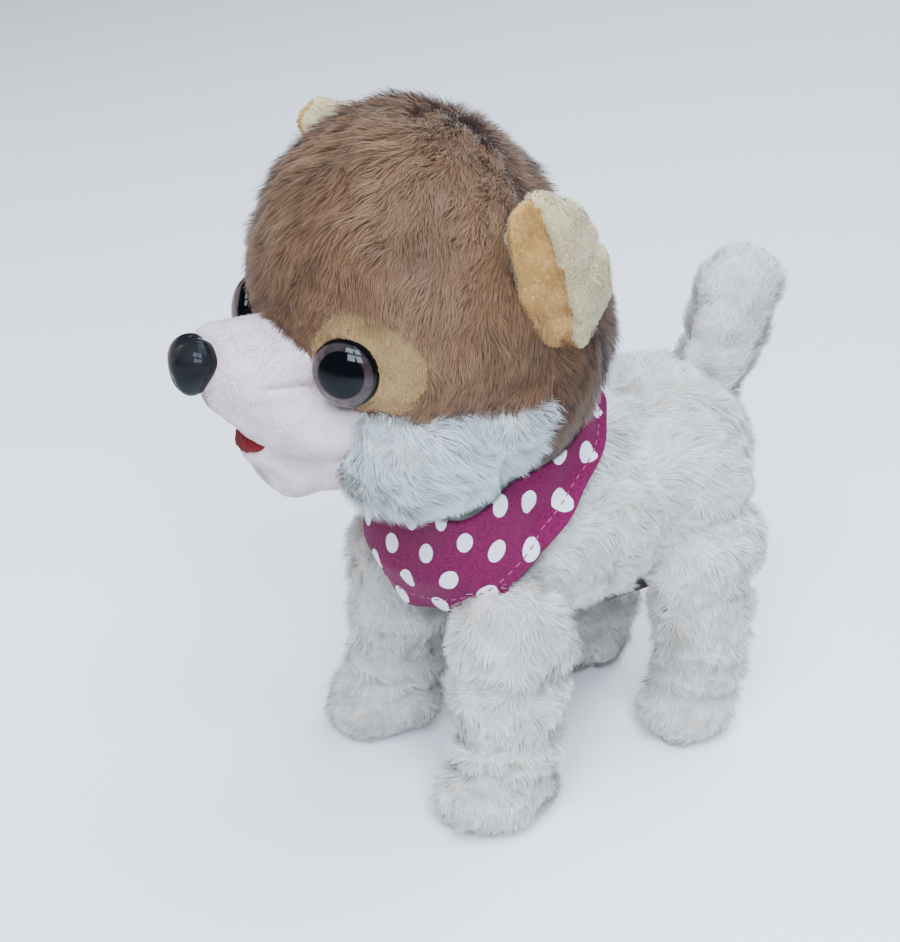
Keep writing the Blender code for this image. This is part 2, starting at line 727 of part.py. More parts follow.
def rear_leg_ovals():
    return [
        ((REAR_LEG_X, 44, 65), (15, 22.5, 23)),
        *blend_ovals(((REAR_LEG_X, 44, 48), (15, 19, 18)), ((REAR_LEG_X, 43, 24), (15, 17.5, 16))),
        ((REAR_LEG_X, 39, 10.5), (16.5, 19.5, 13)),
    ]


def leg_lever(name, side, pivot, foot_x, foot_y):
    """The plastic leg inside the plush: pivot hub, an arm up to the link and a foot plate."""
    y, z = pivot
    plate = across(side, 21.5, 23.9)
    post = across(side, *POST_X)
    foot = across(side, foot_x - FOOT_HALF_WIDTH, foot_x + FOOT_HALF_WIDTH)
    origin = (side * LEG_X, y, z)
    top = z + LEVER_ARM
    obj = joined(
        name,
        [
            rod(f"{name}_hub", (plate[0] - 0.2, y, z), (plate[1] + 0.2, y, z), 6.0, sides=20, origin=origin),
            box(f"{name}_arm", (plate[0], y - 3.4, z), (plate[1], y + 3.4, top)),
            rod(f"{name}_top", (plate[0] - 0.1, y, top), (plate[1] + 0.1, y, top), 3.8, sides=16),
            rod(f"{name}_pin", (side * 22, y, top), (side * 19.0, y, top), 1.4, sides=16),
            box(f"{name}_shin", (plate[0] + 0.1, y - 5, 30), (plate[1] - 0.1, y + 5, z - 1)),
            box(f"{name}_post", (post[0], y - 4.6, 10), (post[1], y + 4.6, 44)),
            box(f"{name}_foot", (foot[0], foot_y - FOOT_REACH, 8.4), (foot[1], foot_y + FOOT_REACH, 11)),
        ],
        "white_nylon",
        origin=origin,
    )
    return boolean(obj, rod(f"{name}_bore", (side * 15, y, z), (side * 30, y, z), 1.8, sides=16))


def leg(label, side, pivot, ovals, angle):
    y, z = pivot
    foot_x, foot_y, _ = ovals[-1][0]
    axis = empty_at(f"{label}_axis", (side * LEG_X, y, z))
    plush = stuffed(
        f"{label}_plush", on_side(side, ovals), "cream_plush", keep=0.04, origin=(side * LEG_X, y, z)
    )
    inner = across(side, 0, INSIDE_LEG_X)
    upper = across(side, 0, 24.5)
    post = across(side, POST_X[0] - ROOM, POST_X[1] + ROOM)
    foot = across(side, foot_x - FOOT_HALF_WIDTH - 0.6, foot_x + FOOT_HALF_WIDTH + 0.6)
    rooms = [
        box(f"{label}_inside", (inner[0], y - 60, 40), (inner[1], y + 60, 120)),
        box(f"{label}_lever_room", (upper[0], y - 60, 52), (upper[1], y + 60, 120)),
        box(f"{label}_post_room", (post[0], y - 5.6, 8), (post[1], y + 5.6, 60)),
        box(
            f"{label}_foot_room",
            (foot[0], foot_y - FOOT_REACH - ROOM, 7.8),
            (foot[1], foot_y + FOOT_REACH + ROOM, 11.6),
        ),
        rod(f"{label}_axle_room", (side * 20, y, z), (side * 27, y, z), 2.4, sides=16),
    ]
    for room in rooms:
        boolean(plush, room)
    lever = leg_lever(f"{label}_lever", side, pivot, foot_x, foot_y)
    hang_on(axis, plush, lever, *rooms, *lever_helpers(lever))
    axis.rotation_euler.x = angle
    # the sole is flat on the ground as the leg stands
    boolean(plush, box(f"{label}_ground", (-90, -120, -40), (90, 120, 0)))


def lever_helpers(obj):
    """The helpers that an object's Booleans use, so that they turn with it."""
    return [modifier.object for modifier in obj.modifiers if modifier.type == "BOOLEAN"]


def legs():
    for label, side in SIDES.items():
        angle = side * STRIDE
        leg(f"leg_front_{label}", side, SHOULDER, front_leg_ovals(), angle)
        leg(f"leg_rear_{label}", side, HIP, rear_leg_ovals(), angle)


def links():
    """A side rod joins a side's two levers, and the crank pin drives its yoke."""
    for label, side in SIDES.items():
        lean = -side * LEVER_ARM * math.sin(STRIDE)
        z = SHOULDER[1] + LEVER_ARM * math.cos(STRIDE)
        front, rear = SHOULDER[0] + lean, HIP[0] + lean
        yoke = CRANK_SHAFT[0] + lean
        x = across(side, 19.5, 21.1)
        origin = (side * 20.3, front, z)
        obj = joined(
            f"walk_link_{label}",
            [
                box(f"link_bar_{label}", (x[0], front, z - 2), (x[1], rear, z + 2), origin=origin),
                rod(f"link_front_{label}", (x[0] - 0.1, front, z), (x[1] + 0.1, front, z), 3.6, sides=16),
                rod(f"link_rear_{label}", (x[0] - 0.1, rear, z), (x[1] + 0.1, rear, z), 3.6, sides=16),
                box(
                    f"link_yoke_{label}",
                    (x[0] - 0.05, yoke - 4, CRANK_SHAFT[1] - 7),
                    (x[1] + 0.05, yoke + 4, CRANK_SHAFT[1] + 7),
                ),
            ],
            "white_nylon",
            origin=origin,
        )
        for end, y in (("front", front), ("rear", rear)):
            near, far = (side * 18, y, z), (side * 23, y, z)
            boolean(obj, rod(f"link_{end}_bore_{label}", near, far, 1.75, sides=16))
        slot = box(
            f"link_slot_{label}",
            (side * 20.3 - 3, yoke - 1.7, CRANK_SHAFT[1] - 4.9),
            (side * 20.3 + 3, yoke + 1.7, CRANK_SHAFT[1] + 4.9),
        )
        boolean(obj, slot)


# ---------------------------------------------------------------- head


SEAM_BACK = -33  # y of the seam between the crown and the back of the head
SEAM_CHEEK = 144  # z of the seam between the crown and the cheeks
MOUTH_TURN = Matrix.Rotation(math.radians(38), 3, "X")  # the mouth opens forward and down


def eye_turn(side):
    """Turns +Z to the way an eye looks: out, forward and a little up."""
    look = Vector((side * 0.60, -0.78, 0.08))
    return Vector((0, 0, 1)).rotation_difference(look).to_matrix()


def eye_place(side, depth=0.0):
    return Vector((side * EYE[0], EYE[1], EYE[2])) - eye_turn(side) @ Vector((0, 0, depth))


def eye_room(label, side):
    """Room for an eye's dome and its shank."""
    radius = EYE_RADIUS + 0.4
    dome = oval(f"eye_room_{label}", eye_place(side), (radius, radius, EYE_DOME + 0.4), turn=eye_turn(side))
    shank = rod(f"shank_room_{label}", eye_place(side, -2), eye_place(side, 14), 2.2, sides=16)
    return dome, shank


def nose_room():
    bulb = oval("nose_room", NOSE, (8.9, 6.4, 8.9))
    shank = rod("nose_shank_room", (0, NOSE[1], 159), (0, -98, 156), 2.2, sides=16)
    return bulb, shank


def mouth_room():
    return oval("mouth_room", MOUTH, (8.4, 7.4, 3.6), turn=MOUTH_TURN)


def intersect(obj, other):
    return boolean(obj, other, "INTERSECT")


def patch_oval(name, side, grow):
    turn = Matrix.Rotation(side * math.radians(-38), 3, "Z") @ Matrix.Rotation(math.radians(-12), 3, "X")
    middle = (side * PATCH_MIDDLE[0], *PATCH_MIDDLE[1:])
    return oval(name, middle, tuple(radius + grow for radius in PATCH_RADII), turn=turn)


def head():
    head_hollow = stuffed("head_hollow", HEAD, inset=PLUSH - 0.5, keep=0.02)

    def head_skin(name, finish):
        """The whole skin of the head, which each panel then keeps its share of."""
        skin = stuffed(name, HEAD, finish, keep=0.025, origin=NOD_AXIS)
        boolean(skin, head_hollow)
        return skin

    neck_room = rod("neck_room", (0, -36, 90), (0, -36, 126), 17.5, sides=32)
    outside = stuffed("head_outside", HEAD, inset=-1.3, keep=0.025)
    patch_rooms = {}
    eye_rooms = {label: eye_room(label, side) for label, side in SIDES.items()}
    for label, side in SIDES.items():
        patch_rooms[label] = [
            patch_oval(f"patch_{size}_{label}", side, grow)
            for size, grow in (("shape", 0), ("room", GAP))
        ]

    for label, side in SIDES.items():
        x = across(side, GAP / 2, 90)
        crown = head_skin(f"crown_{label}", "brown_plush")
        intersect(crown, box(f"crown_{label}_share", (x[0], -130, SEAM_CHEEK), (x[1], SEAM_BACK, 240)))
        boolean(crown, patch_rooms[label][1])
        for room in eye_rooms[label]:
            boolean(crown, room)

        patch = head_skin(f"eye_patch_{label}", "tan_plush")
        intersect(patch, patch_rooms[label][0])
        for room in eye_rooms[label]:
            boolean(patch, room)

        eye = joined(
            f"eye_{label}",
            [
                oval(
                    f"eye_dome_{label}", eye_place(side), (EYE_RADIUS, EYE_RADIUS, EYE_DOME),
                    turn=eye_turn(side), origin=NOD_AXIS,
                ),
                rod(f"eye_shank_{label}", eye_place(side, 2), eye_place(side, 12.4), 1.8, sides=16),
                rod(f"eye_washer_{label}", eye_place(side, 11.4), eye_place(side, 12.8), 5.5, sides=16),
            ],
            "gloss_black",
            origin=NOD_AXIS,
        )

        centre, radii = EAR
        ear = oval(f"ear_{label}", (side * centre[0], *centre[1:]), radii, "tan_plush",
                   turn=Matrix.Rotation(side * math.radians(14), 3, "Y"), origin=NOD_AXIS)
        boolean(ear, outside)

    cheeks = head_skin("cheek_panel", "white_plush")
    intersect(cheeks, box("cheek_share", (-90, -130, 80), (90, SEAM_BACK, SEAM_CHEEK - GAP)))
    boolean(cheeks, neck_room)
    for label in SIDES:
        boolean(cheeks, patch_rooms[label][1])

    back = head_skin("back_of_head", "brown_plush")
    intersect(back, box("back_share", (-90, SEAM_BACK + GAP, 80), (90, 60, 240)))
    boolean(back, neck_room)

    muzzle = stuffed(
        "muzzle", [*blend_ovals(MUZZLE_ROOT, MUZZLE_TIP, 7), CHIN], "pink_velour",
        voxel=2.5, keep=0.06, origin=NOD_AXIS,
    )
    boolean(muzzle, outside)
    for room in (*nose_room(), mouth_room()):
        boolean(muzzle, room)
    for label in SIDES:
        boolean(muzzle, eye_rooms[label][0])
        boolean(muzzle, patch_oval(f"muzzle_patch_room_{label}", SIDES[label], 0.6))
    joined(
        "nose",
        [
            oval("nose_bulb", NOSE, (8.5, 6.0, 8.5), origin=NOD_AXIS),
            rod("nose_shank", (0, NOSE[1] + 3, 158.6), (0, -100, 156.4), 1.8, sides=16),
        ],
        "gloss_black",
        origin=NOD_AXIS,
    )
    oval("mouth_lining", MOUTH, (8.0, 7.0, 3.2), "red_felt", turn=MOUTH_TURN, origin=NOD_AXIS)

    stuffing = stuffed("head_stuffing", HEAD, "wadding", inset=PLUSH + 1.5, keep=0.015, origin=NOD_AXIS)
    boolean(stuffing, neck_room)
    boolean(stuffing, rod("post_room", (0, -36, 120), (0, -36, 152), 5.8, sides=16))
    for label, side in SIDES.items():
        back, front = eye_place(side, -6), eye_place(side, 14)
        boolean(stuffing, rod(f"washer_room_{label}", back, front, 6.2, sides=16))
    lever = joined(
        "neck_lever",
        [
            rod("neck_hub", (-5.4, *NOD_AXIS[1:]), (5.4, *NOD_AXIS[1:]), 4.5, origin=NOD_AXIS),
            rod("neck_post", (0, -36, 112), (0, -36, 149), 5.0),
            rod("neck_disc", (0, -36, 121), (0, -36, 124), 15.5, sides=24),
        ],
        "white_nylon",
        origin=NOD_AXIS,
    )
    boolean(lever, rod("neck_bore", (-8, *NOD_AXIS[1:]), (8, *NOD_AXIS[1:]), 1.5, sides=16))


clear_scene()
PARTS = new_collection("plush_puppy")
CUTTERS = new_collection("cutters", hidden=True)
torso()
tail()
chassis()
battery_case()
gear_train()
electronics()
legs()
links()
head()
stand_on_origin()
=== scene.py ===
import json
import math

import bmesh
import bpy
import numpy as np
from mathutils import Matrix, Vector
from mathutils.kdtree import KDTree


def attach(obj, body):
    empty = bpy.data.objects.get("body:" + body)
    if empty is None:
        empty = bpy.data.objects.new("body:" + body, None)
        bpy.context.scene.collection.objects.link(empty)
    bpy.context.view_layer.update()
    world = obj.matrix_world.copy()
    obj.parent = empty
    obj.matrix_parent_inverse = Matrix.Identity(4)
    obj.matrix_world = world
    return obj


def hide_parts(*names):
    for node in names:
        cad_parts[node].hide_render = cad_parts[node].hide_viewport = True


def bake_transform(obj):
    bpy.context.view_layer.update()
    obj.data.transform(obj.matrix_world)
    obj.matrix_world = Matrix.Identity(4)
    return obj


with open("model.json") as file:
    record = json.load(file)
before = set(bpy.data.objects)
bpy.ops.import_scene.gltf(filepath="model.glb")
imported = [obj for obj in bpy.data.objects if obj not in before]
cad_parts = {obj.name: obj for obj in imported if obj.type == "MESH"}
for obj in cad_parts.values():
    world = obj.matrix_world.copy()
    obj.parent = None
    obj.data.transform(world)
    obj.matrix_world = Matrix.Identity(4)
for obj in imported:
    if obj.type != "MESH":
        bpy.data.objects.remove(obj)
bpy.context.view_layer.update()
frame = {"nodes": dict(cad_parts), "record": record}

# Lengths are millimetres in the drawing's frame: the puppy faces -Y, +X is its left, +Z is up.
MM = 0.001
FORWARD = 17.1  # the drawing's zero is this far in front of the world's

CHEST = ((0, 0, 87), (37, 56, 37))
RUMP = ((0, 41, 88), (36, 34, 37.5))
NECK = ((0, -34, 92), (33, 25, 26))
SKULL = ((0, -49, 168), (52, 46, 53))
NAPE = ((0, -37, 152), (50, 49, 44))
CHEEKS = [((side * 24, -60, 132), (23, 28, 22)) for side in (1, -1)]
MUZZLE_ROOT = ((0, -79, 141), (27, 19, 27))
MUZZLE_TIP = ((0, -107, 156), (13.5, 7.5, 13.5))
CHIN = ((0, -88, 128), (18, 15, 13))
TORSO = [CHEST, RUMP, NECK]
HEAD = [SKULL, NAPE, *CHEEKS]
EYE = (29.0, -86.5, 159.5)
NOSE = (0, -115, 160)
MOUTH = (0, -100, 135)
LEG_X = 30
REAR_LEG_X = 26
SHOULDER = (-34, 76)
HIP = (42, 76)
SEAM_BACK = -33
SEAM_CHEEK = 147
SIDES = {"left": 1, "right": -1}
PILE_DEPTH = 3.2  # how far the long pile stands out from its backing
SOLE = 0.8  # height of the backing under the paws
FLOOR_GAP = 0.3  # no strand reaches lower than this
EYE_DOME = (9.3, 9.3, 5.4)
EYE_SUNK = 2.1
# height and depth of each fold of a leg
FRONT_FOLDS = ((17, 1.2), (24, 1.7), (31, 1.5), (39, 1.1), (48, 0.9))
REAR_FOLDS = ((18, 0.9), (27, 1.2), (37, 1.0))
EAR_SIZE = (5.4, 16.2, 25.0)
EAR_PAD = ((0.6, 3.5, 2), (6.4, 12.5, 21))
EAR_FRONT = 11.0  # the ear's front edge is straight and this far from its middle
EAR_SWEEP = 0.40
EAR_MIDDLE = (50.5, -37, 184)
DOT_STEP, DOT_ROW = 16.5, 10.0  # between the dots in a row, and between rows
DOT_REACH = 11.0  # the dots' radius squared, with its rough edge
STITCH_STEP = 3.1
BAND_THICK = 1.1


# ---------------------------------------------------------------- numbers and fields


def waves(seed, size, count=18):
    """A smooth random field over space, about -2 to 2, whose bumps are about size mm across."""
    rng = np.random.default_rng(seed)
    way = rng.normal(size=(count, 3))
    way /= np.linalg.norm(way, axis=1, keepdims=True)
    way *= 2 * math.pi / size * rng.uniform(0.6, 1.5, (count, 1))
    phase = rng.uniform(0, 2 * math.pi, count)
    return lambda points: np.cos(points @ way.T + phase).sum(1) * math.sqrt(2 / count)


def unit(vectors):
    return vectors / np.maximum(np.linalg.norm(vectors, axis=1, keepdims=True), 1e-9)


def step(low, high, value):
    """0 below low, 1 above high, and smooth between."""
    t = np.clip((value - low) / (high - low), 0, 1)
    return t * t * (3 - 2 * t)


def groove(distance, width):
    """1 on a line, falling away to nothing over width."""
    return np.exp(-((distance / width) ** 2))


def oval_depth(points, centre, radii, turn=None):
    """Below 1 inside an oval and above 1 outside it."""
    away = points - np.array(centre)
    if turn is not None:
        away = away @ np.array(turn)
    return np.sqrt(((away / np.array(radii)) ** 2).sum(1))


def inside(points, ovals, more=0.0):
    found = np.zeros(len(points), bool)
    for centre, radii in ovals:
        found |= oval_depth(points, centre, np.array(radii) + more) < 1
    return found


def blend_ovals(start, end, steps=3):
    made = []
    for number in range(steps):
        share = number / (steps - 1)
        centre = Vector(start[0]).lerp(Vector(end[0]), share)
        radii = Vector(start[1]).lerp(Vector(end[1]), share)
        made.append((tuple(centre), tuple(radii)))
    return made


def on_side(side, ovals):
    return [((side * centre[0], *centre[1:]), radii) for centre, radii in ovals]


# ---------------------------------------------------------------- surfaces


class Surface:
    """Points, four-sided faces and outward normals."""

    def __init__(self, points, quads):
        self.points, self.quads = points, quads
        self.find_normals()

    def find_normals(self):
        corners = self.points[self.quads]
        across = np.cross(corners[:, 2] - corners[:, 0], corners[:, 3] - corners[:, 1])
        normals = np.zeros_like(self.points)
        for corner in range(4):
            np.add.at(normals, self.quads[:, corner], across)
        self.normals = unit(normals)

    def push(self, amount):
        """Moves each point out along its normal by amount(points)."""
        self.points = self.points + self.normals * amount(self.points)[:, None]
        self.find_normals()

    def part(self, chosen):
        """The surface of the chosen faces only."""
        quads = self.quads[chosen]
        used, index = np.unique(quads, return_inverse=True)
        made = Surface.__new__(Surface)
        made.points, made.normals = self.points[used], self.normals[used]
        made.quads = index.reshape(-1, 4)
        return made

    def middles(self):
        return self.points[self.quads].mean(1)

    def areas(self):
        corners = self.points[self.quads]
        across = np.cross(corners[:, 2] - corners[:, 0], corners[:, 3] - corners[:, 1])
        return 0.5 * np.linalg.norm(across, axis=1)

    def scatter(self, rng, density):
        """Random points with their normals, density to each square mm."""
        corners = self.points[self.quads]
        area = self.areas()
        face = rng.choice(len(self.quads), int(area.sum() * density), p=area / area.sum())
        u, v = rng.random((2, len(face), 1))
        weights = np.stack([(1 - u) * (1 - v), u * (1 - v), u * v, (1 - u) * v], 1)
        points = (corners[face] * weights).sum(1)
        normals = (self.normals[self.quads[face]] * weights).sum(1)
        return points, unit(normals)

    def shell(self, thickness):
        """A closed backing of this thickness: the surface, its inner side and the walls along its edges."""
        count = len(self.points)
        inner = self.points - self.normals * thickness
        ends = np.concatenate([self.quads[:, [a, b]] for a, b in ((0, 1), (1, 2), (2, 3), (3, 0))])
        keys = np.sort(ends, axis=1) @ np.array([count, 1])
        _, first, times = np.unique(keys, return_index=True, return_counts=True)
        rim = ends[first[times == 1]]
        walls = np.stack([rim[:, 1], rim[:, 0], rim[:, 0] + count, rim[:, 1] + count], 1)
        quads = np.concatenate([self.quads, self.quads[:, ::-1] + count, walls])
        return np.concatenate([self.points, inner]), quads, np.concatenate([self.normals, -self.normals])


def form(ovals, inset=0.0, voxel=1.6, smooth=6):
    """One smooth closed form over all the ovals, as stuffing fills a sewn bag."""
    bm = bmesh.new()
    for centre, radii in ovals:
        place = Matrix.Translation(centre) @ Matrix.Diagonal((*[radius - inset for radius in radii], 1))
        bmesh.ops.create_uvsphere(bm, u_segments=64, v_segments=40, radius=1, matrix=place)
    mesh = bpy.data.meshes.new("form")
    bm.to_mesh(mesh)
    bm.free()
    obj = bpy.data.objects.new("form", mesh)
    bpy.context.scene.collection.objects.link(obj)
    remesh = obj.modifiers.new("one_form", "REMESH")
    remesh.mode = "VOXEL"
    remesh.voxel_size = voxel
    even = obj.modifiers.new("even", "SMOOTH")
    even.factor = 0.5
    even.iterations = smooth
    evaluated = obj.evaluated_get(bpy.context.evaluated_depsgraph_get())
    result = evaluated.to_mesh()
    points = np.empty(len(result.vertices) * 3)
    result.vertices.foreach_get("co", points)
    loops = np.empty(len(result.loops), int)
    result.loops.foreach_get("vertex_index", loops)
    evaluated.to_mesh_clear()
    bpy.data.objects.remove(obj)
    return Surface(points.reshape(-1, 3), loops.reshape(-1, 4))


# ---------------------------------------------------------------- pile


LEVELS = np.array([0.0, 0.38, 0.72, 1.0])  # along a strand
TAPER = np.array([1.0, 0.85, 0.55, 0.0])


def pile(rng, roots, normals, flow, length, lean=61, width=0.08, clump=20, gather=0.16, swirl=0.38, seed=1):
    """Strands of plush: flat tapering blades that lean the way of flow and gather at their tips.

    Returns their points, four-sided and three-sided faces, normals, place along the strand and shade."""
    count = len(roots)
    tangent = unit(flow - (flow * normals).sum(1, keepdims=True) * normals)
    side = np.cross(normals, tangent)
    turn = swirl * (0.6 * waves(seed, 26)(roots) + 0.5 * waves(seed + 1, 9)(roots))
    turn = turn + rng.normal(0, 0.22, count)
    heading = tangent * np.cos(turn)[:, None] + side * np.sin(turn)[:, None]
    lean = np.radians(np.clip(lean + 9 * waves(seed + 2, 8)(roots) + rng.normal(0, 7, count), 8, 84))[:, None]
    size = (length * rng.uniform(0.72, 1.15, count) * (1 + 0.10 * waves(seed + 3, 11)(roots)))[:, None]
    spine = np.empty((count, 4, 3))
    for number, t in enumerate(LEVELS):
        rise = (1.25 * t - 0.35 * t * t) * np.cos(lean)
        reach = (0.55 * t + 0.45 * t * t) * np.sin(lean)
        spine[:, number] = roots - 0.3 * normals + size * (rise * normals + reach * heading)
    shade = rng.normal(0, 0.10, count) + 0.10 * waves(seed + 4, 7)(roots)
    if clump:
        seeds = rng.choice(count, max(2, count // clump), replace=False)
        tree = KDTree(len(seeds))
        for number, place in enumerate(roots[seeds]):
            tree.insert(place, number)
        tree.balance()
        nearest = seeds[[tree.find(place)[1] for place in roots]]
        tuft = rng.normal(0, 0.13, count)
        shade += tuft[nearest]
        strength = gather * rng.uniform(0.5, 1.0, (count, 1))
        for number, t in enumerate(LEVELS):
            spine[:, number] += strength * t**1.6 * (spine[nearest, number] - spine[:, number])
    along = np.gradient(spine, axis=1)
    along /= np.maximum(np.linalg.norm(along, axis=2, keepdims=True), 1e-9)
    out = normals[:, None, :]
    flat = np.cross(along, np.broadcast_to(out, along.shape))
    flat /= np.maximum(np.linalg.norm(flat, axis=2, keepdims=True), 1e-9)
    roll = rng.uniform(-0.6, 0.6, (count, 1, 1))
    up = np.cross(flat, along)
    flat = flat * np.cos(roll) + up * np.sin(roll)
    half = (width * rng.uniform(0.8, 1.25, (count, 1)) * TAPER)[:, :, None]
    left, right = spine - flat * half, spine + flat * half
    points = np.concatenate(
        [np.stack([left[:, k], right[:, k]], 1) for k in range(3)] + [spine[:, 3:4]], axis=1
    )
    facing = 0.75 * out + 0.35 * np.cross(flat, along) + 0.12 * rng.normal(size=(count, 1, 3))
    facing = unit(facing.reshape(-1, 3)).reshape(count, 4, 3)
    facing = np.concatenate([np.repeat(facing[:, :3], 2, axis=1), facing[:, 3:]], axis=1)
    base = (np.arange(count) * 7)[:, None]
    quads = np.concatenate([base + [0, 1, 3, 2], base + [2, 3, 5, 4]], axis=1).reshape(-1, 4)
    tips = (base + [4, 5, 6]).reshape(-1, 3)
    places = np.tile(np.repeat(LEVELS, 2)[:7], count)
    return {
        "points": points.reshape(-1, 3),
        "quads": quads,
        "tips": tips,
        "normals": facing.reshape(-1, 3),
        "along": places,
        "shade": np.repeat(np.clip(0.5 + shade, 0, 1), 7),
        "count": count,
    }


def pile_uv(count):
    """Each strand's own small cell of the map, its root below and its tip above, in the lower four fifths."""
    across = max(1, math.ceil(math.sqrt(count)))
    number = np.arange(count)
    column, row = number % across, number // across
    x = np.array([0.25, 0.75, 0.25, 0.75, 0.25, 0.75, 0.5])
    y = np.array([0.08, 0.08, 0.38, 0.38, 0.7, 0.7, 0.94])
    u = (column[:, None] + x) / across
    v = (row[:, None] + y) / across * 0.8
    return np.stack([u, v], -1).reshape(-1, 2)


def to_world(points):
    return (points + np.array([0, FORWARD, 0])) * MM


def mesh_object(name, points, faces, normals=None, values=None, uv=None, slots=None):
    """An object from lists of same-sided faces, with values at its points and a map."""
    mesh = bpy.data.meshes.new(name)
    loops = np.concatenate([group.ravel() for group in faces])
    sizes = np.concatenate([np.full(len(group), group.shape[1]) for group in faces])
    starts = np.concatenate([[0], np.cumsum(sizes)[:-1]])
    mesh.vertices.add(len(points))
    mesh.loops.add(len(loops))
    mesh.polygons.add(len(starts))
    mesh.vertices.foreach_set("co", to_world(points).astype(np.float32).ravel())
    mesh.loops.foreach_set("vertex_index", loops.astype(np.int32))
    mesh.polygons.foreach_set("loop_start", starts.astype(np.int32))
    if slots is not None:
        mesh.polygons.foreach_set("material_index", slots.astype(np.int32))
    mesh.update(calc_edges=True)
    mesh.shade_smooth()
    for label, numbers in (values or {}).items():
        attribute = mesh.attributes.new(label, "FLOAT", "POINT")
        attribute.data.foreach_set("value", numbers.astype(np.float32))
    if uv is not None:
        layer = mesh.uv_layers.new(name="OFBake")
        layer.data.foreach_set("uv", uv[loops].astype(np.float32).ravel())
    if normals is not None:
        mesh.normals_split_custom_set_from_vertices(normals.astype(np.float32))
    obj = bpy.data.objects.new(name, mesh)
    bpy.context.scene.collection.objects.link(obj)
    return obj


def plush(name, surface, strands, cloth, hair, thickness=1.2):
    """A panel of plush: its closed fabric backing with the strands of its pile standing on it."""
    backing, quads, normals = surface.shell(thickness)
    shift = len(backing)
    low, high = backing.min(0), backing.max(0)
    middle = (low + high) / 2
    angle = np.arctan2(backing[:, 0] - middle[0], backing[:, 1] - middle[1]) / (2 * math.pi) + 0.5
    height = (backing[:, 2] - low[2]) / max(high[2] - low[2], 1e-6)
    backing_uv = np.stack([angle, 0.82 + 0.17 * height], 1)
    obj = mesh_object(
        name,
        np.concatenate([backing, strands["points"]]),
        [quads, strands["quads"] + shift, strands["tips"] + shift],
        normals=np.concatenate([normals, strands["normals"]]),
        values={
            "along": np.concatenate([np.zeros(shift), strands["along"]]),
            "shade": np.concatenate([np.full(shift, 0.4), strands["shade"]]),
        },
        uv=np.concatenate([backing_uv, pile_uv(strands["count"])]),
        slots=np.concatenate(
            [np.zeros(len(quads)), np.ones(len(strands["quads"]) + len(strands["tips"]))]
        ),
    )
    obj.data.materials.append(cloth)
    obj.data.materials.append(hair)
    return obj


# ---------------------------------------------------------------- materials


def gloss(shader, rough, level, sheen=0.0, sheen_rough=0.5):
    for name, value in (
        ("Roughness", rough), ("Specular IOR Level", level), ("Sheen Weight", sheen),
        ("Sheen Roughness", sheen_rough),
    ):
        shader.inputs[name].default_value = value


def nodes_of(name):
    mat = bpy.data.materials.new(name)
    mat.use_nodes = True
    tree = mat.node_tree
    return mat, tree, tree.nodes["Principled BSDF"]


def add(tree, kind, **settings):
    node = tree.nodes.new(kind)
    for key, value in settings.items():
        if key in node.inputs:
            node.inputs[key].default_value = value
        else:
            setattr(node, key, value)
    return node


def ramp(tree, source, stops):
    node = tree.nodes.new("ShaderNodeValToRGB")
    tree.links.new(source, node.inputs[0])
    elements = node.color_ramp.elements
    for place, colour in stops[2:]:
        elements.new(place)
    for element, (place, colour) in zip(elements, sorted(stops)):
        element.position = place
        element.color = (*colour, 1)
    return node.outputs["Color"]


def noise(tree, scale, detail=3.0, roughness=0.55, vector=None):
    node = add(tree, "ShaderNodeTexNoise", Scale=scale, Detail=detail, Roughness=roughness)
    if vector is None:
        vector = tree.nodes.new("ShaderNodeTexCoord").outputs["Object"]
    tree.links.new(vector, node.inputs["Vector"])
    return node.outputs["Fac"]


def mixed(tree, first, second, factor, mode="MIX"):
    node = tree.nodes.new("ShaderNodeMix")
    node.data_type = "RGBA"
    node.blend_type = mode
    for socket, value in (("A_Color", first), ("B_Color", second), ("Factor_Float", factor)):
        target = next(s for s in node.inputs if s.identifier == socket)
        if isinstance(value, bpy.types.NodeSocket):
            tree.links.new(value, target)
        else:
            target.default_value = value
    return next(s for s in node.outputs if s.identifier == "Result_Color")


def bump(tree, shader, height, strength, distance):
    node = add(tree, "ShaderNodeBump", Strength=strength, Distance=distance)
    tree.links.new(height, node.inputs["Height"])
    tree.links.new(node.outputs[0], shader.inputs["Normal"])


def calc(tree, operation, first, second=None):
    """A Math node on numbers or sockets."""
    node = add(tree, "ShaderNodeMath", operation=operation)
    for socket, value in zip(node.inputs, (first, second)):
        if isinstance(value, bpy.types.NodeSocket):
            tree.links.new(value, socket)
        elif value is not None:
            socket.default_value = value
    return node.outputs[0]


def attribute(tree, name):
    return add(tree, "ShaderNodeAttribute", attribute_name=name).outputs["Fac"]


def hair_material(name, root, middle, tip, patches, sheen=0.15, tufts=(0.78, 0.76, 0.74), scale=30.0):
    """Pile, darker at its roots and lighter at its tips, that varies from tuft to tuft and place to place."""
    mat, tree, shader = nodes_of(name)
    colour = ramp(tree, attribute(tree, "along"), [(0.0, root), (1.0, tip), (0.5, middle)])
    tuft = ramp(tree, attribute(tree, "shade"), [(0.1, tufts), (0.9, (1.0, 1.0, 1.0))])
    colour = mixed(tree, colour, tuft, 1.0, "MULTIPLY")
    area = ramp(tree, noise(tree, scale), [(0.36, patches), (0.62, (1.0, 1.0, 1.0))])
    colour = mixed(tree, colour, area, 1.0, "MULTIPLY")
    tree.links.new(colour, shader.inputs["Base Color"])
    gloss(shader, 0.62, 0.3, sheen, 0.4)
    return mat


